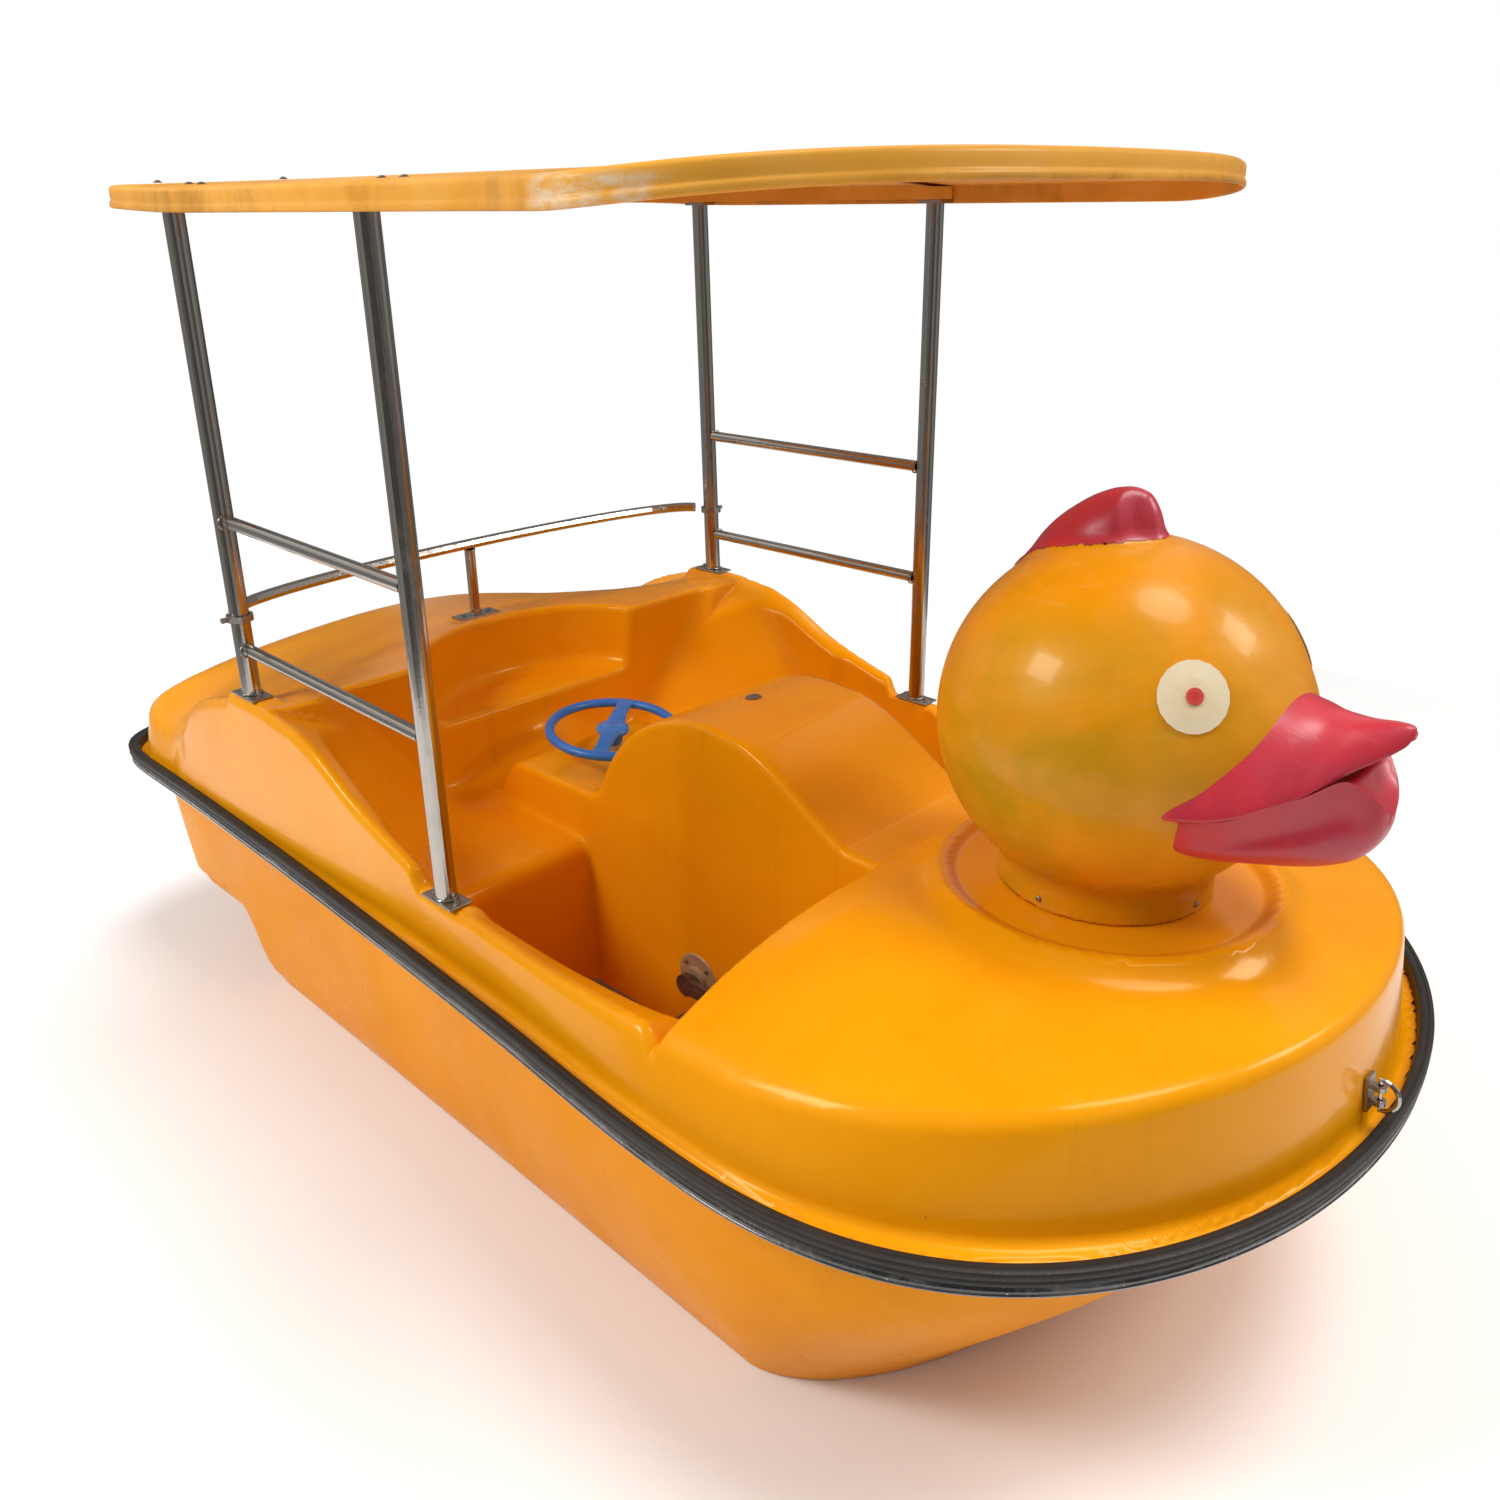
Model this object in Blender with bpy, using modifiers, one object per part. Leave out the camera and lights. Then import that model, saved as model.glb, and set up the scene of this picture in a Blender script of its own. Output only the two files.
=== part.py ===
"""A four-seat pedal boat with a duck's head, a canopy on four posts, a pedal crank that turns a
paddle wheel, and a wheel that steers a rudder. +X is the bow, +Y is port and Z is 0 at the keel."""

import math

import bmesh
import bpy
import numpy as np
from mathutils import Matrix, Vector

# Driving dimensions, in metres
SKIN = 0.005  # thickness of the moulded glass fibre
GAP = 0.0003  # clearance between two pieces that touch
FORE_SHOULDER = 0.75  # where the bow starts to round in
AFT_SHOULDER = -1.10  # where the stern corners start
FLANGE_BOW = 1.455
FLANGE_STERN = -1.443
FLANGE_FORE_BEAM = 0.750  # half the beam at the fore shoulder
FLANGE_AFT_BEAM = 0.676
FLANGE_TOP = 0.515
RAIL_OUT = 0.018  # how far the rub rail stands out from the flange
FLOOR = 0.10
BENCH = 0.50
BENCH_FRONT = -0.12
HUMP_HALF = 0.185
HUMP_CENTRE = (0.232, 0.525)
HUMP_RADIUS = 0.335
CONSOLE_TOP = 0.61
SHAFT = (0.21, 0.305)  # x and z of the drive shaft
CRANK_THROW = 0.125
PADDLE_RADIUS = 0.285
WELL_HALF = 0.168
WELL_LONG = 0.31  # half the length of the paddle well
COLUMN = (-0.262, 0.605)  # x and z where the steering column leaves the console
COLUMN_TILT = math.radians(4.7)
BOSS = 0.009  # height of the moulded seat for the column bearing, along the column
WHEEL_Z = 0.668
WHEEL_RADIUS = 0.142
ARM = 0.10  # length of the steering arm and of the tiller arm
ARM_Z = 0.445
RUDDER_X = -1.12
HEAD = (0.978, 0.0, 1.034)
HEAD_RADIUS = 0.278
NECK_X = 0.985
NECK_RADIUS = 0.169
NECK_DECK = 0.757
BOW_FACE = (1.4256, 0.0, 0.568)  # where the ring's plate sits on the bow
BOW_LEAN = math.atan2(0.0225, 0.207)
POST_RADIUS = 0.019
RAIL_RADIUS = 0.0125
FRONT_POST = (0.088, 0.668, 0.640)
REAR_POST = (-0.603, 0.655, 0.842)
POST_TOP = 1.760
FRONT_TOP = (0.088, 0.668)
REAR_TOP = (-0.610, 0.646)
UPPER_RAIL = 1.203
LOWER_RAIL = 0.943
BACK_RAIL = 1.008
ROOF_EDGE = 1.757
ROOF_BAND = 0.040
ROOF_CROWN = 1.829

TILT = Vector((math.sin(COLUMN_TILT), 0, math.cos(COLUMN_TILT)))

for leftover in list(bpy.data.objects):
    bpy.data.objects.remove(leftover, do_unlink=True)

PARTS = bpy.data.collections.new("pedal_boat")
CUTTERS = bpy.data.collections.new("cutters")
for collection in (PARTS, CUTTERS):
    bpy.context.scene.collection.children.link(collection)

MATERIALS = {}


def material(name, colour, roughness, metallic=0.0):
    made = bpy.data.materials.new(name)
    made.use_nodes = True
    shader = made.node_tree.nodes["Principled BSDF"]
    shader.inputs["Base Color"].default_value = (*colour, 1.0)
    shader.inputs["Roughness"].default_value = roughness
    shader.inputs["Metallic"].default_value = metallic
    made.diffuse_color = (*colour, 1.0)
    MATERIALS[name] = made


material("gelcoat", (0.90, 0.36, 0.006), 0.22)
material("roof_gelcoat", (0.92, 0.42, 0.03), 0.35)
material("head_paint", (0.83, 0.36, 0.012), 0.28)
material("red_paint", (0.62, 0.022, 0.05), 0.35)
material("cream_vinyl", (0.82, 0.66, 0.38), 0.4)
material("pupil_vinyl", (0.62, 0.03, 0.03), 0.4)
material("stainless", (0.62, 0.61, 0.60), 0.18, 1.0)
material("rubber", (0.03, 0.029, 0.028), 0.7)
material("insert_plastic", (0.09, 0.09, 0.09), 0.2)
material("blue_plastic", (0.03, 0.16, 0.55), 0.35)
material("cast_alloy", (0.45, 0.36, 0.25), 0.55, 0.6)
material("crank_steel", (0.20, 0.15, 0.11), 0.5, 0.8)
material("pedal_plastic", (0.06, 0.035, 0.025), 0.55)
material("paddle_plastic", (0.75, 0.30, 0.02), 0.4)
material("plug_plastic", (0.08, 0.06, 0.05), 0.5)


def place(mesh, name, finish, collection=PARTS):
    thing = bpy.data.objects.new(name, mesh)
    collection.objects.link(thing)
    if finish:
        mesh.materials.append(MATERIALS[finish])
    return thing


def from_bmesh(bm, name, finish=None, collection=PARTS, smooth=True):
    """A new object from bm, with its faces turned out."""
    bmesh.ops.remove_doubles(bm, verts=bm.verts[:], dist=1e-6)
    bmesh.ops.recalc_face_normals(bm, faces=bm.faces[:])
    mesh = bpy.data.meshes.new(name)
    bm.to_mesh(mesh)
    bm.free()
    if smooth:
        mesh.shade_smooth()
        mesh.set_sharp_from_angle(angle=math.radians(35))
    return place(mesh, name, finish, collection)


def loft(loops, name, finish=None, collection=PARTS, wrap=False):
    """A closed skin through loops of as many points each. wrap joins the last loop to the first,
    and otherwise the two end loops are capped."""
    bm = bmesh.new()
    rings = [[bm.verts.new(point) for point in loop] for loop in loops]
    pairs = list(zip(rings, rings[1:]))
    if wrap:
        pairs.append((rings[-1], rings[0]))
    for low, high in pairs:
        for i in range(len(low)):
            j = (i + 1) % len(low)
            bm.faces.new((low[i], low[j], high[j], high[i]))
    if not wrap:
        bm.faces.new(rings[0])
        bm.faces.new(rings[-1])
    bmesh.ops.remove_doubles(bm, verts=bm.verts[:], dist=1e-6)
    bmesh.ops.dissolve_degenerate(bm, edges=bm.edges[:], dist=1e-6)
    bmesh.ops.triangulate(bm, faces=bm.faces[:])
    return from_bmesh(bm, name, finish, collection)


def prism(outline, low, high, name, axis="Z", finish=None, collection=CUTTERS):
    """outline, a list of pairs, drawn out along axis from low to high."""
    turn = {"Z": lambda a, b, c: (a, b, c), "Y": lambda a, b, c: (a, c, b)}[axis]
    loops = [[turn(a, b, level) for a, b in outline] for level in (low, high)]
    return loft(loops, name, finish, collection)


def box(name, low, high, finish=None, collection=PARTS, bevel=0.0):
    bm = bmesh.new()
    bmesh.ops.create_cube(bm, size=1.0)
    size = Vector(high) - Vector(low)
    bmesh.ops.scale(bm, vec=size, verts=bm.verts[:])
    bmesh.ops.translate(bm, vec=(Vector(high) + Vector(low)) / 2, verts=bm.verts[:])
    thing = from_bmesh(bm, name, finish, collection, smooth=False)
    if bevel:
        soften(thing, bevel)
    return thing


def soften(thing, width, segments=2):
    bevel = thing.modifiers.new("edges", "BEVEL")
    bevel.width = width
    bevel.segments = segments
    bevel.limit_method = "ANGLE"


def frame_along(direction):
    """The rotation that turns +Z to direction."""
    return Vector((0, 0, 1)).rotation_difference(Vector(direction).normalized()).to_matrix().to_4x4()


def turned(name, profile, finish=None, at=(0, 0, 0), along=(0, 0, 1), sides=24, collection=PARTS):
    """profile, a closed list of (radius, height), turned about the line through at along along."""
    move = Matrix.Translation(at) @ frame_along(along)
    steps = [2 * math.pi * i / sides for i in range(sides)]
    loops = [
        [move @ Vector((r * math.cos(a), r * math.sin(a), z)) for a in steps] for r, z in profile
    ]
    return loft(loops, name, finish, collection, wrap=profile[0][0] > 0 or profile[-1][0] > 0)


def rod(name, a, b, radius, finish=None, sides=24, collection=PARTS):
    """A solid round bar from a to b."""
    along = Vector(b) - Vector(a)
    profile = [(0.0, 0.0), (radius, 0.0), (radius, along.length), (0.0, along.length)]
    return turned(name, profile, finish, a, along, sides, collection)


def pipe(name, a, b, radius, wall, finish, sides=24):
    """A round tube from a to b, open at both ends."""
    along = Vector(b) - Vector(a)
    inner = radius - wall
    profile = [(radius, 0.0), (radius, along.length), (inner, along.length), (inner, 0.0)]
    return turned(name, profile, finish, a, along, sides)


def bent_bar(name, points, radius, finish, resolution=4, cyclic=False):
    """A round bar along a poly line of points."""
    data = bpy.data.curves.new(name, "CURVE")
    data.dimensions = "3D"
    data.bevel_depth = radius
    data.bevel_resolution = resolution
    data.use_fill_caps = not cyclic
    spline = data.splines.new("POLY")
    spline.points.add(len(points) - 1)
    for target, point in zip(spline.points, points):
        target.co = (*point, 1.0)
    spline.use_cyclic_u = cyclic
    data.materials.append(MATERIALS[finish])
    thing = bpy.data.objects.new(name, data)
    PARTS.objects.link(thing)
    return thing


def boolean(thing, other, operation):
    """Applies the Boolean at once, and takes the other shape away."""
    step = thing.modifiers.new(operation.lower(), "BOOLEAN")
    step.object = other
    step.operation = operation
    step.solver = "EXACT"
    graph = bpy.context.evaluated_depsgraph_get()
    mesh = bpy.data.meshes.new_from_object(thing.evaluated_get(graph))
    thing.modifiers.clear()
    bm = bmesh.new()
    bm.from_mesh(mesh)
    bmesh.ops.remove_doubles(bm, verts=bm.verts[:], dist=1e-6)
    bmesh.ops.dissolve_degenerate(bm, edges=bm.edges[:], dist=1e-6)
    bmesh.ops.triangulate(bm, faces=bm.faces[:])
    bm.to_mesh(mesh)
    bm.free()
    old = thing.data
    thing.data = mesh
    mesh.name = thing.name
    bpy.data.meshes.remove(old)
    bpy.data.objects.remove(other, do_unlink=True)
    return thing


def cut(thing, *others):
    for other in others:
        boolean(thing, other, "DIFFERENCE")
    return thing


def join(thing, *others):
    for other in others:
        boolean(thing, other, "UNION")
    return thing


def keep(thing, other):
    return boolean(thing, other, "INTERSECT")


def as_mesh(thing):
    """A curve object made a closed mesh object."""
    graph = bpy.context.evaluated_depsgraph_get()
    mesh = bpy.data.meshes.new_from_object(thing.evaluated_get(graph))
    bm = bmesh.new()
    bm.from_mesh(mesh)
    bmesh.ops.remove_doubles(bm, verts=bm.verts[:], dist=1e-5)
    bm.to_mesh(mesh)
    bm.free()
    made = bpy.data.objects.new(thing.name, mesh)
    PARTS.objects.link(made)
    made.matrix_world = thing.matrix_world
    name = thing.name
    bpy.data.objects.remove(thing, do_unlink=True)
    made.name = name
    return made


def smoothstep(a, b, x):
    u = min(max((x - a) / (b - a), 0.0), 1.0)
    return u * u * (3 - 2 * u)


# Plan outlines: a rounded bow, nearly straight sides and a squarer stern
BOW_STEPS = 8
SIDE_STEPS = 12
STERN_STEPS = 5
BOW_POWER = 2.5
FOOT_POWER = 2.2
RIM_POWER = 2.23
STERN_POWER = 5.0
FOOT_SIDE = [
    (-1.10, 0.668), (-1.03, 0.676), (-0.53, 0.677), (-0.10, 0.678), (0.225, 0.688), (0.75, 0.722),
]
RIM_SIDE = [
    (-1.10, 0.655), (-1.02, 0.660), (-0.97, 0.668), (-0.60, 0.682), (-0.10, 0.686), (0.088, 0.690),
    (0.40, 0.686), (0.75, 0.672),
]


def height(table, x):
    """The value at x of a table of pairs."""
    return float(np.interp(x, [a for a, _ in table], [b for _, b in table]))


def half_outline(bow, stern, fore_beam, aft_beam, power=BOW_POWER, side=None):
    """Points from the tip of the bow down the port side to the middle of the stern. side is a
    table of half beams between the shoulders, where they don't follow the usual line."""
    points = []
    for i in range(BOW_STEPS):
        a = math.pi / 2 * i / BOW_STEPS
        x = FORE_SHOULDER + (bow - FORE_SHOULDER) * math.cos(a) ** (2 / power)
        points.append((x, fore_beam * math.sin(a)))
    for i in range(SIDE_STEPS):
        x = FORE_SHOULDER + (AFT_SHOULDER - FORE_SHOULDER) * i / SIDE_STEPS
        u = (x - AFT_SHOULDER) / (FORE_SHOULDER - AFT_SHOULDER)
        beam = aft_beam + (fore_beam - aft_beam) * u**1.5
        points.append((x, height(side, x) if side else beam))
    for i in range(STERN_STEPS + 1):
        a = math.pi / 2 * i / STERN_STEPS
        x = AFT_SHOULDER - (AFT_SHOULDER - stern) * math.sin(a) ** (2 / STERN_POWER)
        points.append((x, aft_beam * max(math.cos(a), 0.0) ** (2 / STERN_POWER)))
    points[-1] = (stern, 0.0)
    return points


def outline(bow, stern, fore_beam, aft_beam, power=BOW_POWER, side=None):
    """The whole closed outline, port side first."""
    port = half_outline(bow, stern, fore_beam, aft_beam, power, side)
    return port + [(x, -y) for x, y in reversed(port[1:-1])]


def flange_outline(out=0.0):
    return outline(
        FLANGE_BOW + out, FLANGE_STERN - out, FLANGE_FORE_BEAM + out, FLANGE_AFT_BEAM + out
    )


# Deck heights
RIM = [
    (-1.50, 0.622), (-1.08, 0.625), (-1.00, 0.660), (-0.914, 0.738), (-0.79, 0.795), (-0.66, 0.826),
    (-0.54, 0.838), (-0.42, 0.832), (-0.345, 0.812), (-0.18, 0.735), (-0.02, 0.688), (0.088, 0.650),
    (0.22, 0.640), (0.44, 0.631), (0.58, 0.634), (0.75, 0.636), (1.41, 0.717),
]
CROWN = [
    (-1.40, 0.680), (-1.30, 0.725), (-1.10, 0.785), (-0.80, 0.828), (-0.73, 0.828), (-0.50, 0.832),
    (0.40, 0.740), (0.60, 0.735), (0.75, 0.752), (1.22, 0.752), (1.30, 0.745), (1.38, 0.725),
]
AFT_EDGE = [(-1.42, 0.625), (-1.30, 0.660), (-1.10, 0.690), (-0.80, 0.765), (-0.50, 0.830)]


def deck_loops(t):
    """The outer form of the upper deck, t inside the skin, from the flange to the centreline."""
    foot_side = [(x, y - t) for x, y in FOOT_SIDE]
    rim_side = [(x, y - t) for x, y in RIM_SIDE]
    foot = outline(1.431 - t, -1.385 + t, 0.722 - t, 0.668 - t, FOOT_POWER, foot_side)
    rim = outline(1.4085 - t, -1.350 + t, 0.672 - t, 0.655 - t, RIM_POWER, rim_side)
    inner = outline(1.330 - t, -1.290 + t, 0.600 - t, 0.592 - t, 2.1)
    middle = outline(1.240 - t, -1.180 + t, 0.400 - t, 0.400 - t, 1.9)
    low = [(x, y, FLANGE_TOP - 0.005 - 12 * t) for x, y in foot]
    loops = [low, [(x, y, height(RIM, x) - t) for x, y in rim]]
    deck = []
    for x, y in inner:
        fore = height(RIM, x) + 0.028 * smoothstep(0.55, 0.75, x) - t
        aft = height(AFT_EDGE, x) - t
        fender = height(RIM, x) - t
        share = smoothstep(-1.02, -0.98, x)
        deck.append((x, y, fore if x > 0.5 else aft + (fender - aft) * share))
    loops.append(deck)
    ridge = []
    for x, y in middle:
        crown = height(CROWN, x)
        edge = height(AFT_EDGE, x) if x < 0 else height(RIM, x)
        ridge.append((x, y, edge + (crown - edge) * 0.72 - t))
    loops.append(ridge)
    spine = outline(1.10, -1.12, 0.0, 0.0)
    loops.append([(x, 0.0, height(CROWN, x) - t) for x, _ in spine])
    return loops


def grown(points, out):
    """A convex closed outline with each side moved out by out."""
    count = len(points)
    area = sum(
        points[i][0] * points[(i + 1) % count][1] - points[(i + 1) % count][0] * points[i][1]
        for i in range(count)
    )
    sign = 1.0 if area > 0 else -1.0
    lines = []
    for i in range(count):
        (ax, ay), (bx, by) = points[i], points[(i + 1) % count]
        length = math.hypot(bx - ax, by - ay)
        nx, ny = sign * (by - ay) / length, -sign * (bx - ax) / length
        lines.append((nx, ny, nx * ax + ny * ay + out))
    moved = []
    for i in range(count):
        (a1, b1, c1), (a2, b2, c2) = lines[i - 1], lines[i]
        det = a1 * b2 - a2 * b1
        if abs(det) < 1e-9:
            moved.append((points[i][0] + a2 * out, points[i][1] + b2 * out))
        else:
            moved.append(((c1 * b2 - c2 * b1) / det, (a1 * c2 - a2 * c1) / det))
    return moved


def footwell(t):
    low = [(0.555, 0.54), (0.48, 0.590), (BENCH_FRONT, 0.600), (BENCH_FRONT, -0.600),
           (0.48, -0.590), (0.555, -0.54)]
    high = [(0.640, 0.54), (0.56, 0.610), (BENCH_FRONT - 0.01, 0.634),
            (BENCH_FRONT - 0.01, -0.634), (0.56, -0.610), (0.640, -0.54)]
    levels = [(low, FLOOR - t), (high, 0.95)]
    return loft(
        [[(x, y, z) for x, y in grown(shape, t)] for shape, z in levels], "footwell", None, CUTTERS
    )


def seat_space(t):
    low = [(0.0, 0.58), (-0.515, 0.530), (-0.545, 0.34), (-0.545, -0.34), (-0.515, -0.530),
           (0.0, -0.58)]
    high = [(0.0, 0.625), (-0.455, 0.612), (-0.500, 0.550), (-0.500, -0.550), (-0.455, -0.612),
            (0.0, -0.625)]
    levels = [(low, BENCH - t), (high, 0.95)]
    return loft(
        [[(x, y, z) for x, y in grown(shape, t)] for shape, z in levels], "seat", None, CUTTERS
    )


def back_recess(t):
    """The U-shaped pocket with a shelf behind the backrest."""
    turns = [math.pi / 2 + math.pi * i / 14 for i in range(15)]
    arc = [(-0.500 + 0.215 * math.cos(a), 0.285 * math.sin(a)) for a in turns]
    shape = [(-0.40, 0.285), *arc, (-0.40, -0.285)]
    return prism(grown(shape, t), 0.68 - t, 0.95, "recess")


def housing_chain(t):
    """The upper line of the console and the paddle housing, t inside, from aft to the foredeck."""
    cx, cz = HUMP_CENTRE
    r = HUMP_RADIUS - t
    start = math.pi - math.asin((CONSOLE_TOP - t - cz) / r)
    end = math.radians(38)
    arc = [start + (end - start) * i / 14 for i in range(15)]
    chain = [(-0.465 + t, 0.47), (-0.465 + t, 0.505), (-0.39 + t, CONSOLE_TOP - t)]
    chain += [(cx + r * math.cos(a), cz + r * math.sin(a)) for a in arc]
    return chain + [(0.60, 0.716 - t), (0.68, 0.722 - t)]


def housing(t):
    """The console and the paddle housing as one form across the middle of the cockpit."""
    base = FLOOR - 0.6 * SKIN - 12 * t
    step = 0.47 - 8 * t
    chain = housing_chain(t)
    chain[0] = (chain[0][0], step)
    front = 0.60 - t
    back = BENCH_FRONT - 0.6 * SKIN + t
    legs = [(front, base), (back, base), (back, step)]
    shape = chain + [(0.68, 0.60), (front, 0.55)] + legs
    half = HUMP_HALF - t
    return prism(shape, -half, half, "housing", axis="Y")


def make_deck():
    deck = prism(flange_outline(), FLANGE_TOP - SKIN, FLANGE_TOP, "deck_moulding", "Z", "gelcoat",
                 PARTS)
    join(deck, loft(deck_loops(0.0), "top", None, CUTTERS))
    dish = [(0.0, 0.60), (0.268, 0.60), (0.262, NECK_DECK), (0.0, NECK_DECK)]
    join(deck, turned("dish", dish, None, (NECK_X, 0, 0), collection=CUTTERS, sides=48))
    for side in (1, -1):
        for x, y, z in (FRONT_POST, REAR_POST):
            middle = side * (y - 0.0055)
            pad = box("pad", (x - 0.056, middle - 0.0255, z - 0.09), (x + 0.056, middle + 0.0255,
                      z + 0.003), None, CUTTERS)
            flat = box("flat", (x - 0.062, side * y - 0.045, z), (x + 0.062, side * y + 0.045,
                       z + 0.1), None, CUTTERS)
            join(deck, pad)
            cut(deck, flat)
    under = footwell(SKIN)
    keep(under, box("below", (-2, -2, -1), (2, 2, 0.56), None, CUTTERS))
    join(deck, under)
    behind = seat_space(SKIN)
    keep(behind, box("below", (-2, -2, -1), (2, 2, 0.56), None, CUTTERS))
    join(deck, behind)
    cut(deck, footwell(0.0), seat_space(0.0), back_recess(0.0))
    join(deck, housing(0.0))
    hollow = loft(deck_loops(SKIN), "hollow", None, CUTTERS)
    wall = 0.9 * SKIN
    cut(hollow, footwell(wall), seat_space(wall), back_recess(wall))
    cut(deck, hollow, housing(SKIN))
    bore = rod("bore", (SHAFT[0], -0.25, SHAFT[1]), (SHAFT[0], 0.25, SHAFT[1]), 0.016, None, 24,
               CUTTERS)
    foot = Vector((COLUMN[0], 0, COLUMN[1]))
    join(deck, rod("boss", foot - 0.003 * TILT, foot + BOSS * TILT, 0.036, None, 28, CUTTERS))
    column = rod("bore", foot - 0.1 * TILT, foot + 0.1 * TILT, 0.014, None, 24, CUTTERS)
    plug = rod("bore", (0.19, 0, 0.80), (0.19, 0, 0.95), 0.011, None, 16, CUTTERS)
    cut(deck, bore, column, plug)
    return deck


def bottom(x):
    """Height of the flat bottom, which steps up near the stern to clear the rudder."""
    return 0.16 * smoothstep(-0.86, -0.98, x) if x < -0.86 else 0.0


def hull_loops(t):
    top = FLANGE_TOP - SKIN - GAP
    rows = [
        (1.385, -1.392, 0.700, 0.630, 2.5, None, top if t == 0 else top + 0.02),
        (1.310, -1.352, 0.690, 0.622, 2.2, None, 0.32),
        (1.180, -1.300, 0.655, 0.612, 1.9, 0.050, 0.150),
        (1.090, -1.275, 0.622, 0.602, 1.75, 0.016, 0.050),
        (1.050, -1.245, 0.600, 0.580, 1.7, 0.000, 0.000),
    ]
    loops = []
    for bow, stern, fore, aft, power, lift, z in rows:
        loop = []
        for x, y in outline(bow - t, stern + t, fore - t, aft - t, power):
            level = z if lift is None else max(z, bottom(x) + lift) + t
            loop.append((x, y, level))
        loops.append(loop)
    spine = outline(0.80, -1.10, 0.0, 0.0)
    loops.append([(x, 0.0, bottom(x) + t) for x, _ in spine])
    return loops


def make_hull():
    hull = loft(hull_loops(0.0), "hull_shell", "gelcoat")
    top = FLANGE_TOP - SKIN - GAP
    join(hull, prism(flange_outline(), top - SKIN, top, "flange"))
    cut(hull, loft(hull_loops(SKIN), "hollow", None, CUTTERS))
    x, _ = SHAFT
    outer = box("well", (x - WELL_LONG, -WELL_HALF, 0.0), (x + WELL_LONG, WELL_HALF, 0.27), None,
                CUTTERS)
    inner = box("well_hole", (x - WELL_LONG + SKIN, -WELL_HALF + SKIN, -0.1),
                (x + WELL_LONG - SKIN, WELL_HALF - SKIN, 0.4), None, CUTTERS)
    join(hull, outer)
    stock = rod("stock_hole", (RUDDER_X, 0, 0.05), (RUDDER_X, 0, 0.3), 0.0200, None, 24, CUTTERS)
    drain = rod("drain_hole", (-1.20, 0.35, 0.10), (-1.20, 0.35, 0.3), 0.0125, None, 16, CUTTERS)
    cut(hull, inner, stock, drain)
    return hull


def ring_rail(name, inside, outside, low, high, finish):
    """A rail round the whole boat, with softened outer corners."""
    soft = (high - low) * 0.28
    section = [(inside, low), (outside - soft / 2, low), (outside, low + soft),
               (outside, high - soft), (outside - soft / 2, high), (inside, high)]
    loops = [[(x, y, z) for x, y in flange_outline(out)] for out, z in section]
    return loft(loops, name, finish, PARTS, wrap=True)


def make_rails_round():
    ring_rail("rub_rail", GAP * 2, RAIL_OUT, 0.5085, 0.532, "rubber")
    ring_rail("rub_rail_insert", GAP * 2, RAIL_OUT - 0.002, 0.486, 0.508, "insert_plastic")


ROOF_PLAN = [
    (0.915, 0.0), (0.912, 0.12), (0.893, 0.30), (0.853, 0.46), (0.795, 0.60), (0.735, 0.685),
    (0.66, 0.737), (0.58, 0.745), (0.49, 0.725), (0.40, 0.704), (0.28, 0.700), (-0.20, 0.690),
    (-0.80, 0.672), (-0.875, 0.65), (-0.925, 0.59), (-0.95, 0.45), (-0.955, 0.20), (-0.955, 0.0),
]


def roof_outline(inset):
    port = [(x * (1 - inset / 0.95), y * (1 - inset / 0.70)) for x, y in ROOF_PLAN]
    return port + [(x, -y) for x, y in reversed(port[1:-1])]


def roof_edge(x):
    """The edge turns up a little at both ends."""
    return ROOF_EDGE + 0.030 * smoothstep(0.58, 0.94, x) + 0.010 * smoothstep(-0.5, -0.95, x)


def roof_loops(t):
    rows = [
        (0.0, -0.002 if t else 0.0),
        (0.0, ROOF_BAND - 0.006),
        (0.006, ROOF_BAND),
        (0.12, None),
        (0.30, None),
        (0.50, None),
    ]
    loops = []
    for inset, rise in rows:
        loop = []
        for x, y in roof_outline(inset + t):
            edge = roof_edge(x)
            if rise is not None:
                loop.append((x, y, edge + rise - (t if rise > 0.01 else 0.0)))
                continue
            share = 1 - (1 - inset / 0.70) ** 2
            high = edge + ROOF_BAND
            loop.append((x, y, high + (ROOF_CROWN - high) * share - t))
        loops.append(loop)
    return loops


def make_roof():
    roof = loft(roof_loops(0.0), "canopy_roof", "roof_gelcoat")
    cut(roof, loft(roof_loops(SKIN), "hollow", None, CUTTERS))
    for name, (x, y) in (("front", FRONT_TOP), ("rear", REAR_TOP)):
        box(f"roof_beam_{name}", (x - 0.03, -y - 0.018, POST_TOP + 0.0057),
            (x + 0.03, y + 0.018, POST_TOP + 0.030), "roof_gelcoat")
    return roof


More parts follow.
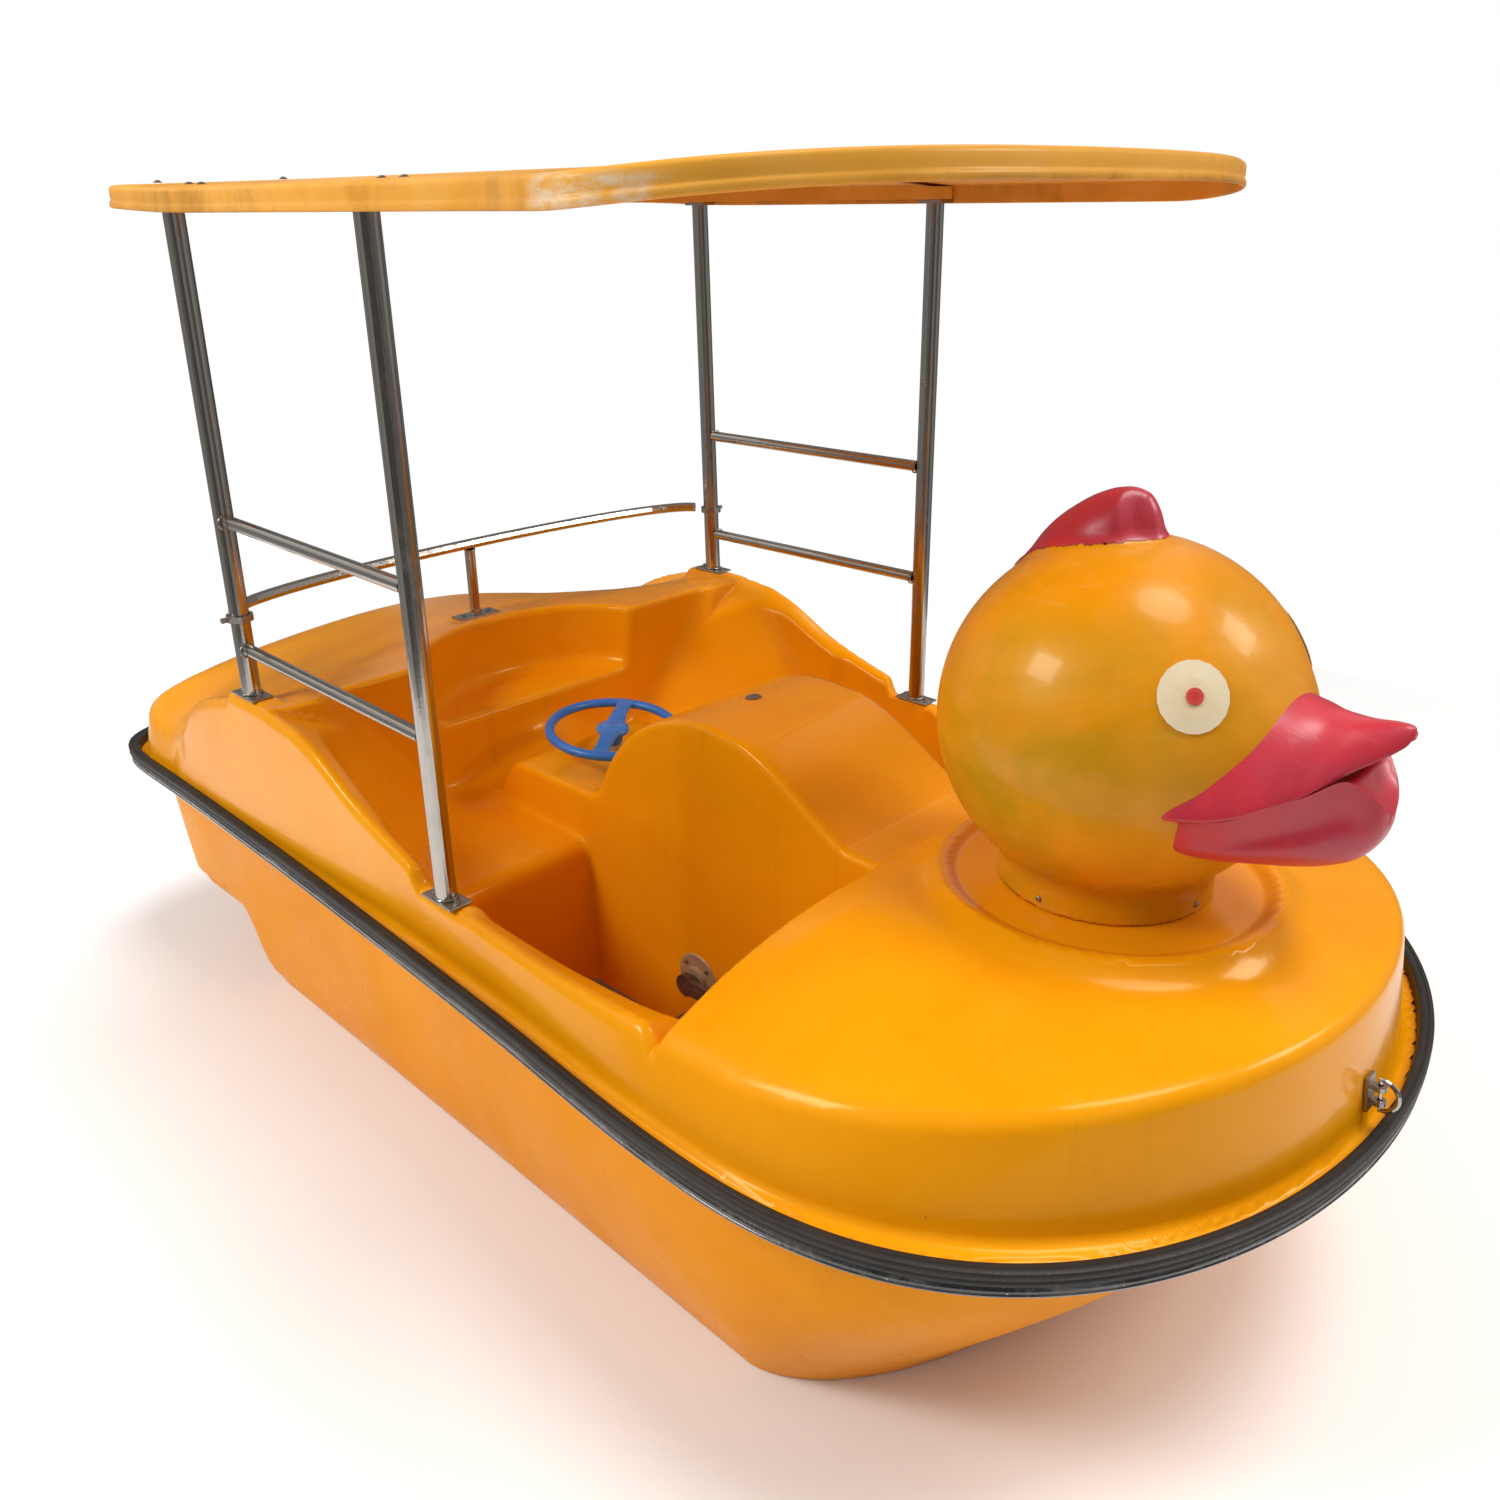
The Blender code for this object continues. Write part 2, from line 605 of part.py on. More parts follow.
def make_canopy_frame():
    for side, word in ((1, "port"), (-1, "starboard")):
        for end, base, top in (("front", FRONT_POST, FRONT_TOP), ("rear", REAR_POST, REAR_TOP)):
            x, y, z = base
            low = (x, side * y, z + 0.006)
            high = (top[0], side * top[1], POST_TOP)
            post = pipe(f"post_{end}_{word}", low, high, POST_RADIUS, 0.0015, "stainless")
            join(post, box("top_plate", (top[0] - 0.03, high[1] - 0.021, POST_TOP - 0.002),
                           (top[0] + 0.03, high[1] + 0.021, POST_TOP + 0.005), None, CUTTERS))
            plate = box(f"post_base_{end}_{word}", (x - 0.046, side * y - 0.024, z + GAP),
                        (x + 0.046, side * y + 0.024, z + 0.005), "stainless", PARTS)
            soften(plate, 0.012, 3)
        for level, word_z in ((UPPER_RAIL, "upper"), (LOWER_RAIL, "lower")):
            ends = []
            for base, top, step in ((REAR_POST, REAR_TOP, 1), (FRONT_POST, FRONT_TOP, -1)):
                u = (level - base[2]) / (POST_TOP - base[2])
                x = base[0] + (top[0] - base[0]) * u
                y = side * (base[1] + (top[1] - base[1]) * u)
                ends.append((x + step * (POST_RADIUS + 0.0015), y, level))
            pipe(f"side_rail_{word_z}_{word}", ends[0], ends[1], RAIL_RADIUS, 0.0015, "stainless")


def back_rail_points():
    """An arc that bows aft between the rear posts."""
    u = (BACK_RAIL - REAR_POST[2]) / (POST_TOP - REAR_POST[2])
    x = REAR_POST[0] + (REAR_TOP[0] - REAR_POST[0]) * u
    y = REAR_POST[1] + (REAR_TOP[1] - REAR_POST[1]) * u
    bow = 0.130
    points = []
    for i in range(25):
        a = math.pi * (i / 24 - 0.5) * 0.94
        points.append((x - 0.034 - bow * math.cos(a) ** 0.9, (y - 0.012) * math.sin(a) /
                       math.sin(math.pi * 0.47), BACK_RAIL))
    return x, y, points


def make_back_rail():
    x, y, points = back_rail_points()
    bent_bar("back_rail", points, RAIL_RADIUS, "stainless", 2)
    for side, word in ((1, "port"), (-1, "starboard")):
        inner = POST_RADIUS + 0.001
        profile = [(inner, -0.0065), (inner + 0.006, -0.0065), (inner + 0.006, 0.0065),
                   (inner, 0.0065)]
        collar = turned(f"rail_collar_{word}", profile, "stainless", (x, side * y, BACK_RAIL),
                        sides=24)
        out = POST_RADIUS + 0.005
        join(collar, rod("ear", (x, side * (y + out), BACK_RAIL),
                         (x, side * (y + out + 0.014), BACK_RAIL), 0.0055, None, 12, CUTTERS))
    middle = (points[12][0], 0.0)
    foot = 0.8287
    pipe("back_rail_post", (*middle, foot + 0.005), (*middle, BACK_RAIL - RAIL_RADIUS - 0.0005),
         RAIL_RADIUS, 0.0015, "stainless")
    return middle, foot


def on_head(polar, turn, radius=HEAD_RADIUS):
    """A point on the head's sphere, polar up from level and turn from dead ahead."""
    x = radius * math.cos(polar) * math.cos(turn)
    y = radius * math.cos(polar) * math.sin(turn)
    return Vector(HEAD) + Vector((x, y, radius * math.sin(polar)))


def ball(name, radius, sides=32, collection=CUTTERS):
    bm = bmesh.new()
    bmesh.ops.create_uvsphere(bm, u_segments=sides, v_segments=sides // 2, radius=radius)
    bmesh.ops.translate(bm, vec=HEAD, verts=bm.verts[:])
    return from_bmesh(bm, name, None, collection)


def make_head():
    cx, _, cz = HEAD
    inner = HEAD_RADIUS - SKIN
    drop = -math.acos(NECK_RADIUS / HEAD_RADIUS)
    steps = 12
    outer_arc = [drop + (math.pi / 2 - drop) * i / steps for i in range(steps + 1)]
    inner_drop = -math.acos((NECK_RADIUS - SKIN) / inner)
    inner_arc = [inner_drop + (math.pi / 2 - inner_drop) * i / steps for i in range(steps + 1)]
    skirt = NECK_DECK + GAP - cz
    profile = [(NECK_RADIUS, skirt)]
    profile += [(HEAD_RADIUS * math.cos(a), HEAD_RADIUS * math.sin(a)) for a in outer_arc]
    profile[-1] = (0.0, HEAD_RADIUS)
    back = [(inner * math.cos(a), inner * math.sin(a)) for a in reversed(inner_arc)]
    back[0] = (0.0, inner)
    profile += back + [(NECK_RADIUS - SKIN, skirt)]
    turned("head_shell", profile, "head_paint", HEAD, sides=32)
    collar = NECK_RADIUS - SKIN - GAP
    ring = [(collar - 0.030, 0.0), (collar, 0.0), (collar, 0.032), (collar - 0.003, 0.032),
            (collar - 0.003, 0.003), (collar - 0.030, 0.003)]
    turned("neck_ring", ring, "stainless", (cx, 0, NECK_DECK + GAP), sides=32)


UPPER_BILL = [  # x, half width, ridge, lip, height under the middle
    (1.10, 0.203, 1.170, 0.988, 1.030), (1.16, 0.206, 1.152, 0.991, 1.030),
    (1.20, 0.186, 1.142, 0.992, 1.030), (1.236, 0.162, 1.133, 1.000, 1.040),
    (1.272, 0.138, 1.126, 1.018, 1.052), (1.295, 0.113, 1.122, 1.0285, 1.060),
    (1.3245, 0.088, 1.121, 1.0535, 1.077), (1.3465, 0.058, 1.1235, 1.073, 1.090),
    (1.362, 0.040, 1.126, 1.085, 1.098), (1.374, 0.024, 1.1275, 1.0986, 1.106),
    (1.390, 0.010, 1.127, 1.113, 1.115), (1.3975, 0.003, 1.125, 1.121, 1.1195),
]
LOWER_BILL = [  # x, half width, rim, keel
    (1.10, 0.160, 0.968, 0.915), (1.17, 0.168, 0.972, 0.905), (1.22, 0.150, 0.980, 0.900),
    (1.27, 0.122, 0.996, 0.900), (1.31, 0.096, 1.016, 0.905), (1.345, 0.068, 1.040, 0.918),
    (1.362, 0.052, 1.040, 0.930), (1.376, 0.036, 1.026, 0.950), (1.385, 0.020, 1.010, 0.970),
    (1.389, 0.006, 0.998, 0.984),
]


def bill_loop(x, half, top, lip, under, low):
    """One section of a bill: its upper face from side to side, then back along its under face."""
    steps = 12
    loop = []
    for i in range(steps + 1):
        r = -math.cos(math.pi * i / steps)
        loop.append((x, half * r, lip + (top - lip) * max(1 - r * r, 0.0) ** 0.8))
    for i in range(steps + 1):
        r = math.cos(math.pi * i / steps)
        loop.append((x, half * r, low + (under - low) * max(1 - r * r, 0.0) ** 0.8))
    return loop


def make_bill():
    """Two lips that hug the front of the head, the upper one swept up at its tip."""
    upper = [bill_loop(x, half, ridge, lip, under, lip - 0.007 * min(1.0, half / 0.03))
             for x, half, ridge, lip, under in UPPER_BILL]
    bill = loft(upper, "upper_bill", "red_paint")
    cut(bill, ball("grown_head", HEAD_RADIUS + 0.0018, 48))
    lower = [bill_loop(x, half, rim - 0.008 * min(1.0, half / 0.06), rim, keel,
                       rim - 0.45 * (rim - keel))
             for x, half, rim, keel in LOWER_BILL]
    lip = loft(lower, "lower_bill", "red_paint")
    cut(lip, ball("grown_head", HEAD_RADIUS + 0.0018, 48))


def make_crest():
    """A fin of red feathers along the top of the head."""
    loops = []
    for x, low, high, half in (
        (0.800, 1.20, 1.262, 0.006), (0.850, 1.20, 1.315, 0.030), (0.900, 1.22, 1.352, 0.045),
        (0.945, 1.24, 1.376, 0.050), (0.978, 1.24, 1.372, 0.046), (1.003, 1.24, 1.340, 0.032),
        (1.018, 1.24, 1.306, 0.012),
    ):
        middle = (low + high) / 2
        rise = (high - low) / 2
        loops.append([
            (x, half * math.cos(a), middle + rise * math.sin(a))
            for a in (2 * math.pi * i / 20 for i in range(20))
        ])
    crest = loft(loops, "head_crest", "red_paint")
    cut(crest, ball("grown_head", HEAD_RADIUS + 0.0018, 48))


def disc_on_head(name, radius, low, high, side, finish):
    """A thin round sticker that follows the sphere between two heights over it."""
    along = on_head(math.radians(26), side * math.radians(41)) - Vector(HEAD)
    peak = HEAD_RADIUS + high
    rows = 2
    top = [math.asin(radius / peak) * i / rows for i in range(rows + 1)]
    base = HEAD_RADIUS + low
    profile = [(peak * math.sin(a), peak * math.cos(a)) for a in reversed(top)]
    profile[-1] = (0.0, peak)
    under = [(base * math.sin(a), base * math.cos(a)) for a in top]
    under[0] = (0.0, base)
    profile = profile + under
    turned(name, list(reversed(profile)), finish, HEAD, along, sides=20)


def make_eyes():
    for side, word in ((1, "port"), (-1, "starboard")):
        disc_on_head(f"eye_disc_{word}", 0.050, 0.0012, 0.0024, side, "cream_vinyl")
        disc_on_head(f"eye_pupil_{word}", 0.012, 0.0030, 0.0042, side, "pupil_vinyl")


def on_column(z):
    """The point of the steering column's axis at height z."""
    return Vector((COLUMN[0], 0, COLUMN[1])) + TILT * ((z - COLUMN[1]) / TILT.z)


def tilted(points, z):
    """Points given flat about the column, turned with its tilt at height z."""
    move = Matrix.Translation(on_column(z)) @ frame_along(TILT)
    return [move @ Vector(point) for point in points]


def make_steering():
    count = 32
    flat = [(WHEEL_RADIUS * math.cos(2 * math.pi * i / count),
             WHEEL_RADIUS * math.sin(2 * math.pi * i / count), 0.0) for i in range(count)]
    wheel = as_mesh(bent_bar("steering_wheel", tilted(flat, WHEEL_Z), 0.0105, "blue_plastic", 2,
                             True))
    hub = [(0.0, -0.030), (0.020, -0.030), (0.034, -0.006), (0.034, 0.004), (0.0, 0.008)]
    join(wheel, turned("hub", hub, None, on_column(WHEEL_Z), TILT, 28, CUTTERS))
    for turn in (128, 308):
        a = math.radians(turn)
        c, d = math.cos(a), math.sin(a)
        ends = [(0.015 * c, 0.015 * d, -0.002), (0.060 * c, 0.060 * d, 0.0),
                (WHEEL_RADIUS * 0.985 * c, WHEEL_RADIUS * 0.985 * d, 0.0)]
        widths = (0.017, 0.0105, 0.0150)
        loops = []
        for (x, y, z), half in zip(ends, widths):
            section = [(half * math.cos(b), 0.0065 * math.sin(b)) for b in
                       (2 * math.pi * i / 12 for i in range(12))]
            loops.append(tilted([(x - u * d, y + u * c, z + v) for u, v in section], WHEEL_Z))
        join(wheel, loft(loops, "spoke", None, CUTTERS))
    wheel.data.materials.clear()
    wheel.data.materials.append(MATERIALS["blue_plastic"])
    socket = rod("socket", on_column(WHEEL_Z - 0.06), on_column(WHEEL_Z - 0.012), 0.0098, None, 20,
                 CUTTERS)
    cut(wheel, socket)
    rod("steering_column", on_column(0.425), on_column(WHEEL_Z - 0.014), 0.0095, "stainless", 20)
    bearing = [(0.0100, -0.018), (0.0135, -0.018), (0.0135, BOSS + GAP), (0.032, BOSS + GAP),
               (0.032, BOSS + 0.004), (0.018, BOSS + 0.006), (0.016, 0.028), (0.0100, 0.028)]
    turned("column_bearing", bearing, "cast_alloy", on_column(COLUMN[1]), TILT, 28)
    lever("steering_arm", on_column(ARM_Z), TILT, 0.0098)
    lever("tiller_arm", Vector((RUDDER_X, 0, ARM_Z)), Vector((0, 0, 1)), 0.0128)
    pin = tilted([(0, ARM, 0)], ARM_Z)[0]
    far = Vector((RUDDER_X, ARM, pin.z - 0.012))
    near = pin - 0.012 * TILT
    link = rod("drag_link", near, far, 0.006, "stainless", 16)
    for end, up in ((near, TILT), (far, Vector((0, 0, 1)))):
        eye = [(0.0, -0.008), (0.013, -0.008), (0.013, 0.0065), (0.0, 0.0065)]
        join(link, turned("eye", eye, None, end, up, 14, CUTTERS))
        hole = rod("hole", end - 0.02 * up, end + 0.02 * up, 0.0050, None, 16, CUTTERS)
        cut(link, hole)


def lever(name, foot, up, bore):
    """An arm of ARM between a clamp on its shaft and a pin that points down."""
    move = Matrix.Translation(foot) @ frame_along(up)

    def turned_here(profile, at, label, collection=CUTTERS, finish=None):
        return turned(label, profile, finish, move @ Vector(at), up, 20, collection)

    arm = turned_here([(bore + GAP, -0.008), (bore + 0.010, -0.008), (bore + 0.010, 0.012),
                       (bore + GAP, 0.012)], (0, 0, 0), name, PARTS, "cast_alloy")
    start = bore + 0.006
    corners = [(x, y, z) for z in (0.0, 0.006) for x, y in
               ((-0.009, start), (0.009, start), (0.008, ARM), (-0.008, ARM))]
    loops = [[move @ Vector(c) for c in corners[:4]], [move @ Vector(c) for c in corners[4:]]]
    bar = loft(loops, "bar", None, CUTTERS)
    end = turned_here([(0.0, 0.0), (0.012, 0.0), (0.012, 0.006), (0.0, 0.006)], (0, ARM, 0),
                      "end")
    pin = turned_here([(0.0, -0.0215), (0.0042, -0.0215), (0.0042, 0.003), (0.0, 0.003)],
                      (0, ARM, 0), "pin")
    join(arm, bar, end, pin)
    return arm


def make_rudder():
    pipe_wall = [(0.0128, 0.0), (0.0192, 0.0), (0.0192, 0.245), (0.0128, 0.245)]
    foot = 0.150
    tube = turned("rudder_bearing", pipe_wall, "stainless", (RUDDER_X, 0, foot), sides=24)
    plate = [(0.0180, 0.0), (0.045, 0.0), (0.045, 0.005), (0.0180, 0.005)]
    join(tube, turned("plate", plate, None, (RUDDER_X, 0, 0.1655), sides=24, collection=CUTTERS))
    rod("rudder_stock", (RUDDER_X, 0, 0.024), (RUDDER_X, 0, 0.470), 0.0124, "stainless", 24)
    outline_xz = [(0.045, 0.125), (-0.110, 0.140), (-0.135, 0.122), (-0.120, 0.040),
                  (-0.100, 0.022), (0.035, 0.022), (0.048, 0.040)]
    shape = [(RUDDER_X + x, z) for x, z in outline_xz]
    blade = prism(shape, -0.0175, 0.0175, "rudder_blade", "Y", "paddle_plastic", PARTS)
    hole = rod("hole", (RUDDER_X, 0, 0.0), (RUDDER_X, 0, 0.3), 0.0128, None, 24, CUTTERS)
    for side in (1, -1):
        taper = [(RUDDER_X - 0.05, side * 0.0180), (RUDDER_X - 0.2, side * 0.0030),
                 (RUDDER_X - 0.2, side * 0.05), (RUDDER_X - 0.05, side * 0.05)]
        cut(blade, prism(taper, -0.1, 0.3, "taper"))
    cut(blade, hole)


def on_bow(out, across, up):
    """A point on the bow's sloping face: out from it, across it and up along it."""
    lean = Vector((-math.sin(BOW_LEAN), 0, math.cos(BOW_LEAN)))
    normal = Vector((math.cos(BOW_LEAN), 0, math.sin(BOW_LEAN)))
    return Vector(BOW_FACE) + normal * out + Vector((0, across, 0)) + lean * up


def make_bow_ring():
    """A D-shaped ring that hangs in two lugs on the bow."""
    lean = on_bow(0, 0, 1) - on_bow(0, 0, 0)
    hinge = 0.0185
    arc = [math.pi * (i / 12 - 0.5) for i in range(13)]
    points = [on_bow(hinge + 0.0260 * math.cos(a), 0, 0.0255 * math.sin(a)) for a in arc]
    bent_bar("bow_ring", points, 0.0035, "stainless", 2, True)
    corners = [(-0.013, -0.028), (0.013, -0.028), (0.013, 0.028), (-0.013, 0.028)]
    plate = loft([[on_bow(out, across, up) for across, up in corners] for out in (0.001, 0.006)],
                 "bow_ring_plate", "stainless")
    for level in (-0.012, 0.012):
        neck = [[on_bow(out, across, level + up) for across, up in
                 ((-0.006, -0.0038), (0.006, -0.0038), (0.006, 0.0038), (-0.006, 0.0038))]
                for out in (0.004, hinge)]
        lug = [(0.0, -0.004), (0.0095, -0.004), (0.0095, 0.004), (0.0, 0.004)]
        join(plate, loft(neck, "neck", None, CUTTERS),
             turned("lug", lug, None, on_bow(hinge, 0, level), lean, 20, CUTTERS))
    cut(plate, rod("pin_hole", on_bow(hinge, 0, -0.05), on_bow(hinge, 0, 0.05), 0.0042, None, 16,
                   CUTTERS))


def make_plugs():
    cap = [(0.0, -0.012), (0.0095, -0.012), (0.0095, 0.0012), (0.016, 0.0012), (0.014, 0.004),
           (0.0, 0.005)]
    top = HUMP_CENTRE[1] + math.sqrt(HUMP_RADIUS**2 - (0.19 - HUMP_CENTRE[0]) ** 2)
    along = (0.19 - HUMP_CENTRE[0], 0, top - HUMP_CENTRE[1])
    turned("housing_plug", cap, "plug_plastic", (0.19, 0, top), along, sides=20)
    drain = [(0.0, -0.0045), (0.018, -0.0045), (0.018, -0.0010), (0.0115, -0.0010),
             (0.0115, 0.014), (0.0, 0.014)]
    turned("drain_plug", drain, "plug_plastic", (-1.20, 0.35, 0.160), sides=20)


def y_axis_turned(name, profile, finish, y, side=1, sides=32, collection=PARTS):
    at = (SHAFT[0], y, SHAFT[1])
    return turned(name, profile, finish, at, (0, side, 0), sides, collection)


CRANK_SPANS = ((0.245, 0.335), (0.385, 0.475))  # y of the two pedals on each side


def make_drive():
    x, z = SHAFT
    reach = 0.2150
    rod("drive_shaft", (x, -reach, z), (x, reach, z), 0.0125, "crank_steel", 24)
    hub = [(0.0128, -0.120), (0.030, -0.120), (0.030, 0.120), (0.0128, 0.120)]
    wheel = y_axis_turned("paddle_wheel", hub, "paddle_plastic", 0.0)
    for side, word in ((1, "port"), (-1, "starboard")):
        disc = [(0.0128, 0.1205), (0.195, 0.1205), (0.195, 0.1245), (0.0128, 0.1245)]
        y_axis_turned(f"paddle_disc_{word}", disc, "paddle_plastic", 0.0, side, 32)
        flange = [(0.0130, 0.0), (0.055, 0.0), (0.055, 0.005), (0.052, 0.0075), (0.028, 0.009),
                  (0.026, 0.017), (0.0130, 0.017)]
        bearing = y_axis_turned(f"shaft_bearing_{word}", flange, "cast_alloy",
                                side * (HUMP_HALF + GAP), side, 28)
        for i in range(4):
            a = math.radians(45 + 90 * i)
            at = (x + 0.041 * math.cos(a), side * 0.15, z + 0.041 * math.sin(a))
            cut(bearing, rod("hole", at, (at[0], side * 0.25, at[2]), 0.0045, None, 8, CUTTERS))
        make_crank(side, word)
        make_pedals(side, word)
    for i in range(6):
        a = math.radians(60 * i + 30)
        join(wheel, blade(a))


def make_crank(side, word):
    """Two flat throws half a turn apart, each with its pedal pin, at rest level with the shaft:
    the inner pedal ahead of it, the outer one behind."""
    x, z = SHAFT
    (a0, a1), (b0, b1) = CRANK_SPANS
    throw = CRANK_THROW
    arms = ((0.2160, 0.2300, 0.0, -throw), (a1 + 0.012, b0 - 0.012, -throw, throw))
    crank = None
    boss = y_axis_turned("boss", [(0.0, 0.0), (0.024, 0.0), (0.024, 0.0135), (0.0, 0.0135)], None,
                         side * 0.2155, side, 28, CUTTERS)
    for near, far, start, end in arms:
        low, high = sorted((start, end))
        loops = []
        for y in (near, far):
            upper = [(x + 0.017 * math.cos(a), side * y, z + high + 0.017 * math.sin(a))
                     for a in (math.pi * i / 8 for i in range(9))]
            under = [(x + 0.017 * math.cos(a), side * y, z + low + 0.017 * math.sin(a))
                     for a in (math.pi + math.pi * i / 8 for i in range(9))]
            loops.append(upper + under)
        arm = loft(loops, f"crank_{word}" if crank is None else "arm", "crank_steel",
                   PARTS if crank is None else CUTTERS)
        if crank is None:
            crank = arm
        else:
            join(crank, arm)
    first = rod("pin", (x, side * 0.223, z - throw), (x, side * (a1 + 0.018), z - throw), 0.0085,
                None, 20, CUTTERS)
    second = rod("pin", (x, side * (b0 - 0.018), z + throw), (x, side * (b1 + 0.006), z + throw),
                 0.0085, None, 20, CUTTERS)
    nut = rod("nut", (x, side * (b1 + 0.004), z + throw), (x, side * (b1 + 0.014), z + throw),
              0.0150, None, 6, CUTTERS)
    join(crank, boss, first, second, nut)
    crank.data.transform(
        Matrix.Translation((x, 0, z)) @ Matrix.Rotation(math.radians(-90), 4, "Y")
        @ Matrix.Translation((-x, 0, -z))
    )
    return crank


def make_pedals(side, word):
    x, z = SHAFT
    for (near, far), drop, place_word in zip(CRANK_SPANS, (-1, 1), ("inner", "outer")):
        middle = x - drop * CRANK_THROW
        low, high = sorted((side * near, side * far))
        block = box(f"pedal_{place_word}_{word}", (middle - 0.042, low, z - 0.0145),
                    (middle + 0.042, high, z + 0.0145), "pedal_plastic", PARTS)
        for at in (-0.024, 0.024):
            for face in (-1, 1):
                edge = z + face * 0.0145
                slot = box("groove", (middle + at - 0.002, low - 0.01, edge - 0.003),
                           (middle + at + 0.002, high + 0.01, edge + 0.003), None, CUTTERS)
                cut(block, slot)
        cut(block, rod("bore", (middle, low - 0.01, z), (middle, high + 0.01, z), 0.0092, None, 20,
                       CUTTERS))


def blade(turn):
    """A flat paddle that grows from the hub, between the two discs."""
    flat = box("blade", (0.025, -0.115, -0.004), (PADDLE_RADIUS, 0.115, 0.004), None, CUTTERS)
    flat.data.transform(
        Matrix.Translation((SHAFT[0], 0, SHAFT[1])) @ Matrix.Rotation(-turn, 4, "Y")
    )
    return flat


def make_back_rail_base(middle, foot):
    """The plate under the back rail's middle post."""
    box("back_rail_base", (middle[0] - 0.022, -0.055, foot + GAP),
        (middle[0] + 0.022, 0.055, foot + 0.0045), "stainless", PARTS)


def make_parts():
    make_deck()
    make_hull()
    make_rails_round()
    make_roof()
    make_canopy_frame()
    middle, foot = make_back_rail()
    make_back_rail_base(middle, foot)
    make_head()
    make_bill()
    make_crest()
    make_eyes()
    make_steering()
    make_rudder()
    make_bow_ring()
    make_plugs()
    make_drive()


def set_pivot(name, point):
    """Moves an object's origin to point, and leaves its shape where it is."""
    thing = bpy.data.objects[name]
    thing.data.transform(Matrix.Translation(-Vector(point)))
    thing.matrix_world = Matrix.Translation(point)


def set_pivots():
    """The origin of each moving piece goes on the axis that it turns about."""
    x, z = SHAFT
    for name in ("drive_shaft", "paddle_wheel", "paddle_disc_port", "paddle_disc_starboard",
                 "crank_port", "crank_starboard"):
        set_pivot(name, (x, 0, z))
    for side, word in ((1, "port"), (-1, "starboard")):
        for (near, far), drop, place_word in zip(CRANK_SPANS, (-1, 1), ("inner", "outer")):
            middle = side * (near + far) / 2
            set_pivot(f"pedal_{place_word}_{word}", (x - drop * CRANK_THROW, middle, z))
    for name in ("steering_wheel", "steering_column", "steering_arm"):
        set_pivot(name, on_column(0.6))
    set_pivot("drag_link", tilted([(0, ARM, 0)], ARM_Z)[0])
    for name in ("rudder_stock", "rudder_blade", "tiller_arm"):
        set_pivot(name, (RUDDER_X, 0, 0.3))
    set_pivot("bow_ring", on_bow(0.0185, 0, 0))


make_parts()
set_pivots()
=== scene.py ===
import math

import bmesh
import bpy
import numpy as np
from mathutils import Matrix, Vector


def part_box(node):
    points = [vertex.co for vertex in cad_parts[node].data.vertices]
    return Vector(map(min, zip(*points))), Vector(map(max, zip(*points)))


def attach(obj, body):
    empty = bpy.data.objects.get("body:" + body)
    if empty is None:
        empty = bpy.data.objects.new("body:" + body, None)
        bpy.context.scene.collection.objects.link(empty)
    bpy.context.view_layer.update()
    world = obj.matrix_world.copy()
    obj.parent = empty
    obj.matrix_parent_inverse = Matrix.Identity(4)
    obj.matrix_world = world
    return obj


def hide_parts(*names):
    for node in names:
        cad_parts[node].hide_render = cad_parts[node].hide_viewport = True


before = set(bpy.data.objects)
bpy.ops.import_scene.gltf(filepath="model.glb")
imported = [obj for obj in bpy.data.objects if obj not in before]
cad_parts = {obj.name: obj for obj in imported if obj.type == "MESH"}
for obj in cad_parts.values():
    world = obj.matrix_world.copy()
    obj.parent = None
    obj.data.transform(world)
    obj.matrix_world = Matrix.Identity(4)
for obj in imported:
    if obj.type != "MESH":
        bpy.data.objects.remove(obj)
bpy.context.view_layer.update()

# ---- dimensions, as in the CAD model
FORE_SHOULDER = 0.75
AFT_SHOULDER = -1.10
FLANGE_BOW = 1.455
FLANGE_STERN = -1.443
FLANGE_TOP = 0.515
FLOOR = 0.10
SHAFT = (0.21, 0.305)
COLUMN = Vector((-0.262, 0.0, 0.605))
TILT = Vector((math.sin(math.radians(4.7)), 0.0, math.cos(math.radians(4.7))))
WHEEL_Z = 0.668
HEAD = (0.978, 0.0, 1.034)
HEAD_RADIUS = 0.278
NECK = (0.985, 0.757)
NECK_RADIUS = 0.169
ROOF_EDGE = 1.757
ROOF_BAND = 0.040
ROOF_CROWN = 1.8218
WELL = (0.305, 0.163)
UPWARD = (0, 0, 1)


# ---- small numeric tools
def curve(pairs):
    """A smooth function through a table of pairs, flat outside it."""
    xs = np.array([a for a, _ in pairs], float)
    ys = np.array([b for _, b in pairs], float)
    steps = np.diff(xs)
    slopes = np.diff(ys) / steps
    tangent = np.zeros(len(xs))
    same = slopes[:-1] * slopes[1:] > 0
    w1 = 2 * steps[1:] + steps[:-1]
    w2 = steps[1:] + 2 * steps[:-1]
    safe = np.where(same, slopes[:-1], 1.0), np.where(same, slopes[1:], 1.0)
    tangent[1:-1] = np.where(same, (w1 + w2) / (w1 / safe[0] + w2 / safe[1]), 0.0)
    fine = np.linspace(xs[0], xs[-1], 3000)
    k = np.clip(np.searchsorted(xs, fine, "right") - 1, 0, len(steps) - 1)
    t = (fine - xs[k]) / steps[k]
    value = (
        ys[k] * (2 * t**3 - 3 * t**2 + 1) + ys[k + 1] * (3 * t**2 - 2 * t**3)
        + steps[k] * (tangent[k] * (t**3 - 2 * t**2 + t) + tangent[k + 1] * (t**3 - t**2))
    )
    return lambda x: np.interp(x, fine, value)


def smoothstep(a, b, x):
    u = np.clip((x - a) / (b - a), 0.0, 1.0)
    return u * u * (3 - 2 * u)


def mix(a, b, share):
    return a + (b - a) * share


def smin(a, b, k):
    h = np.maximum(k - np.abs(a - b), 0.0) / k
    return np.minimum(a, b) - h * h * k * 0.25


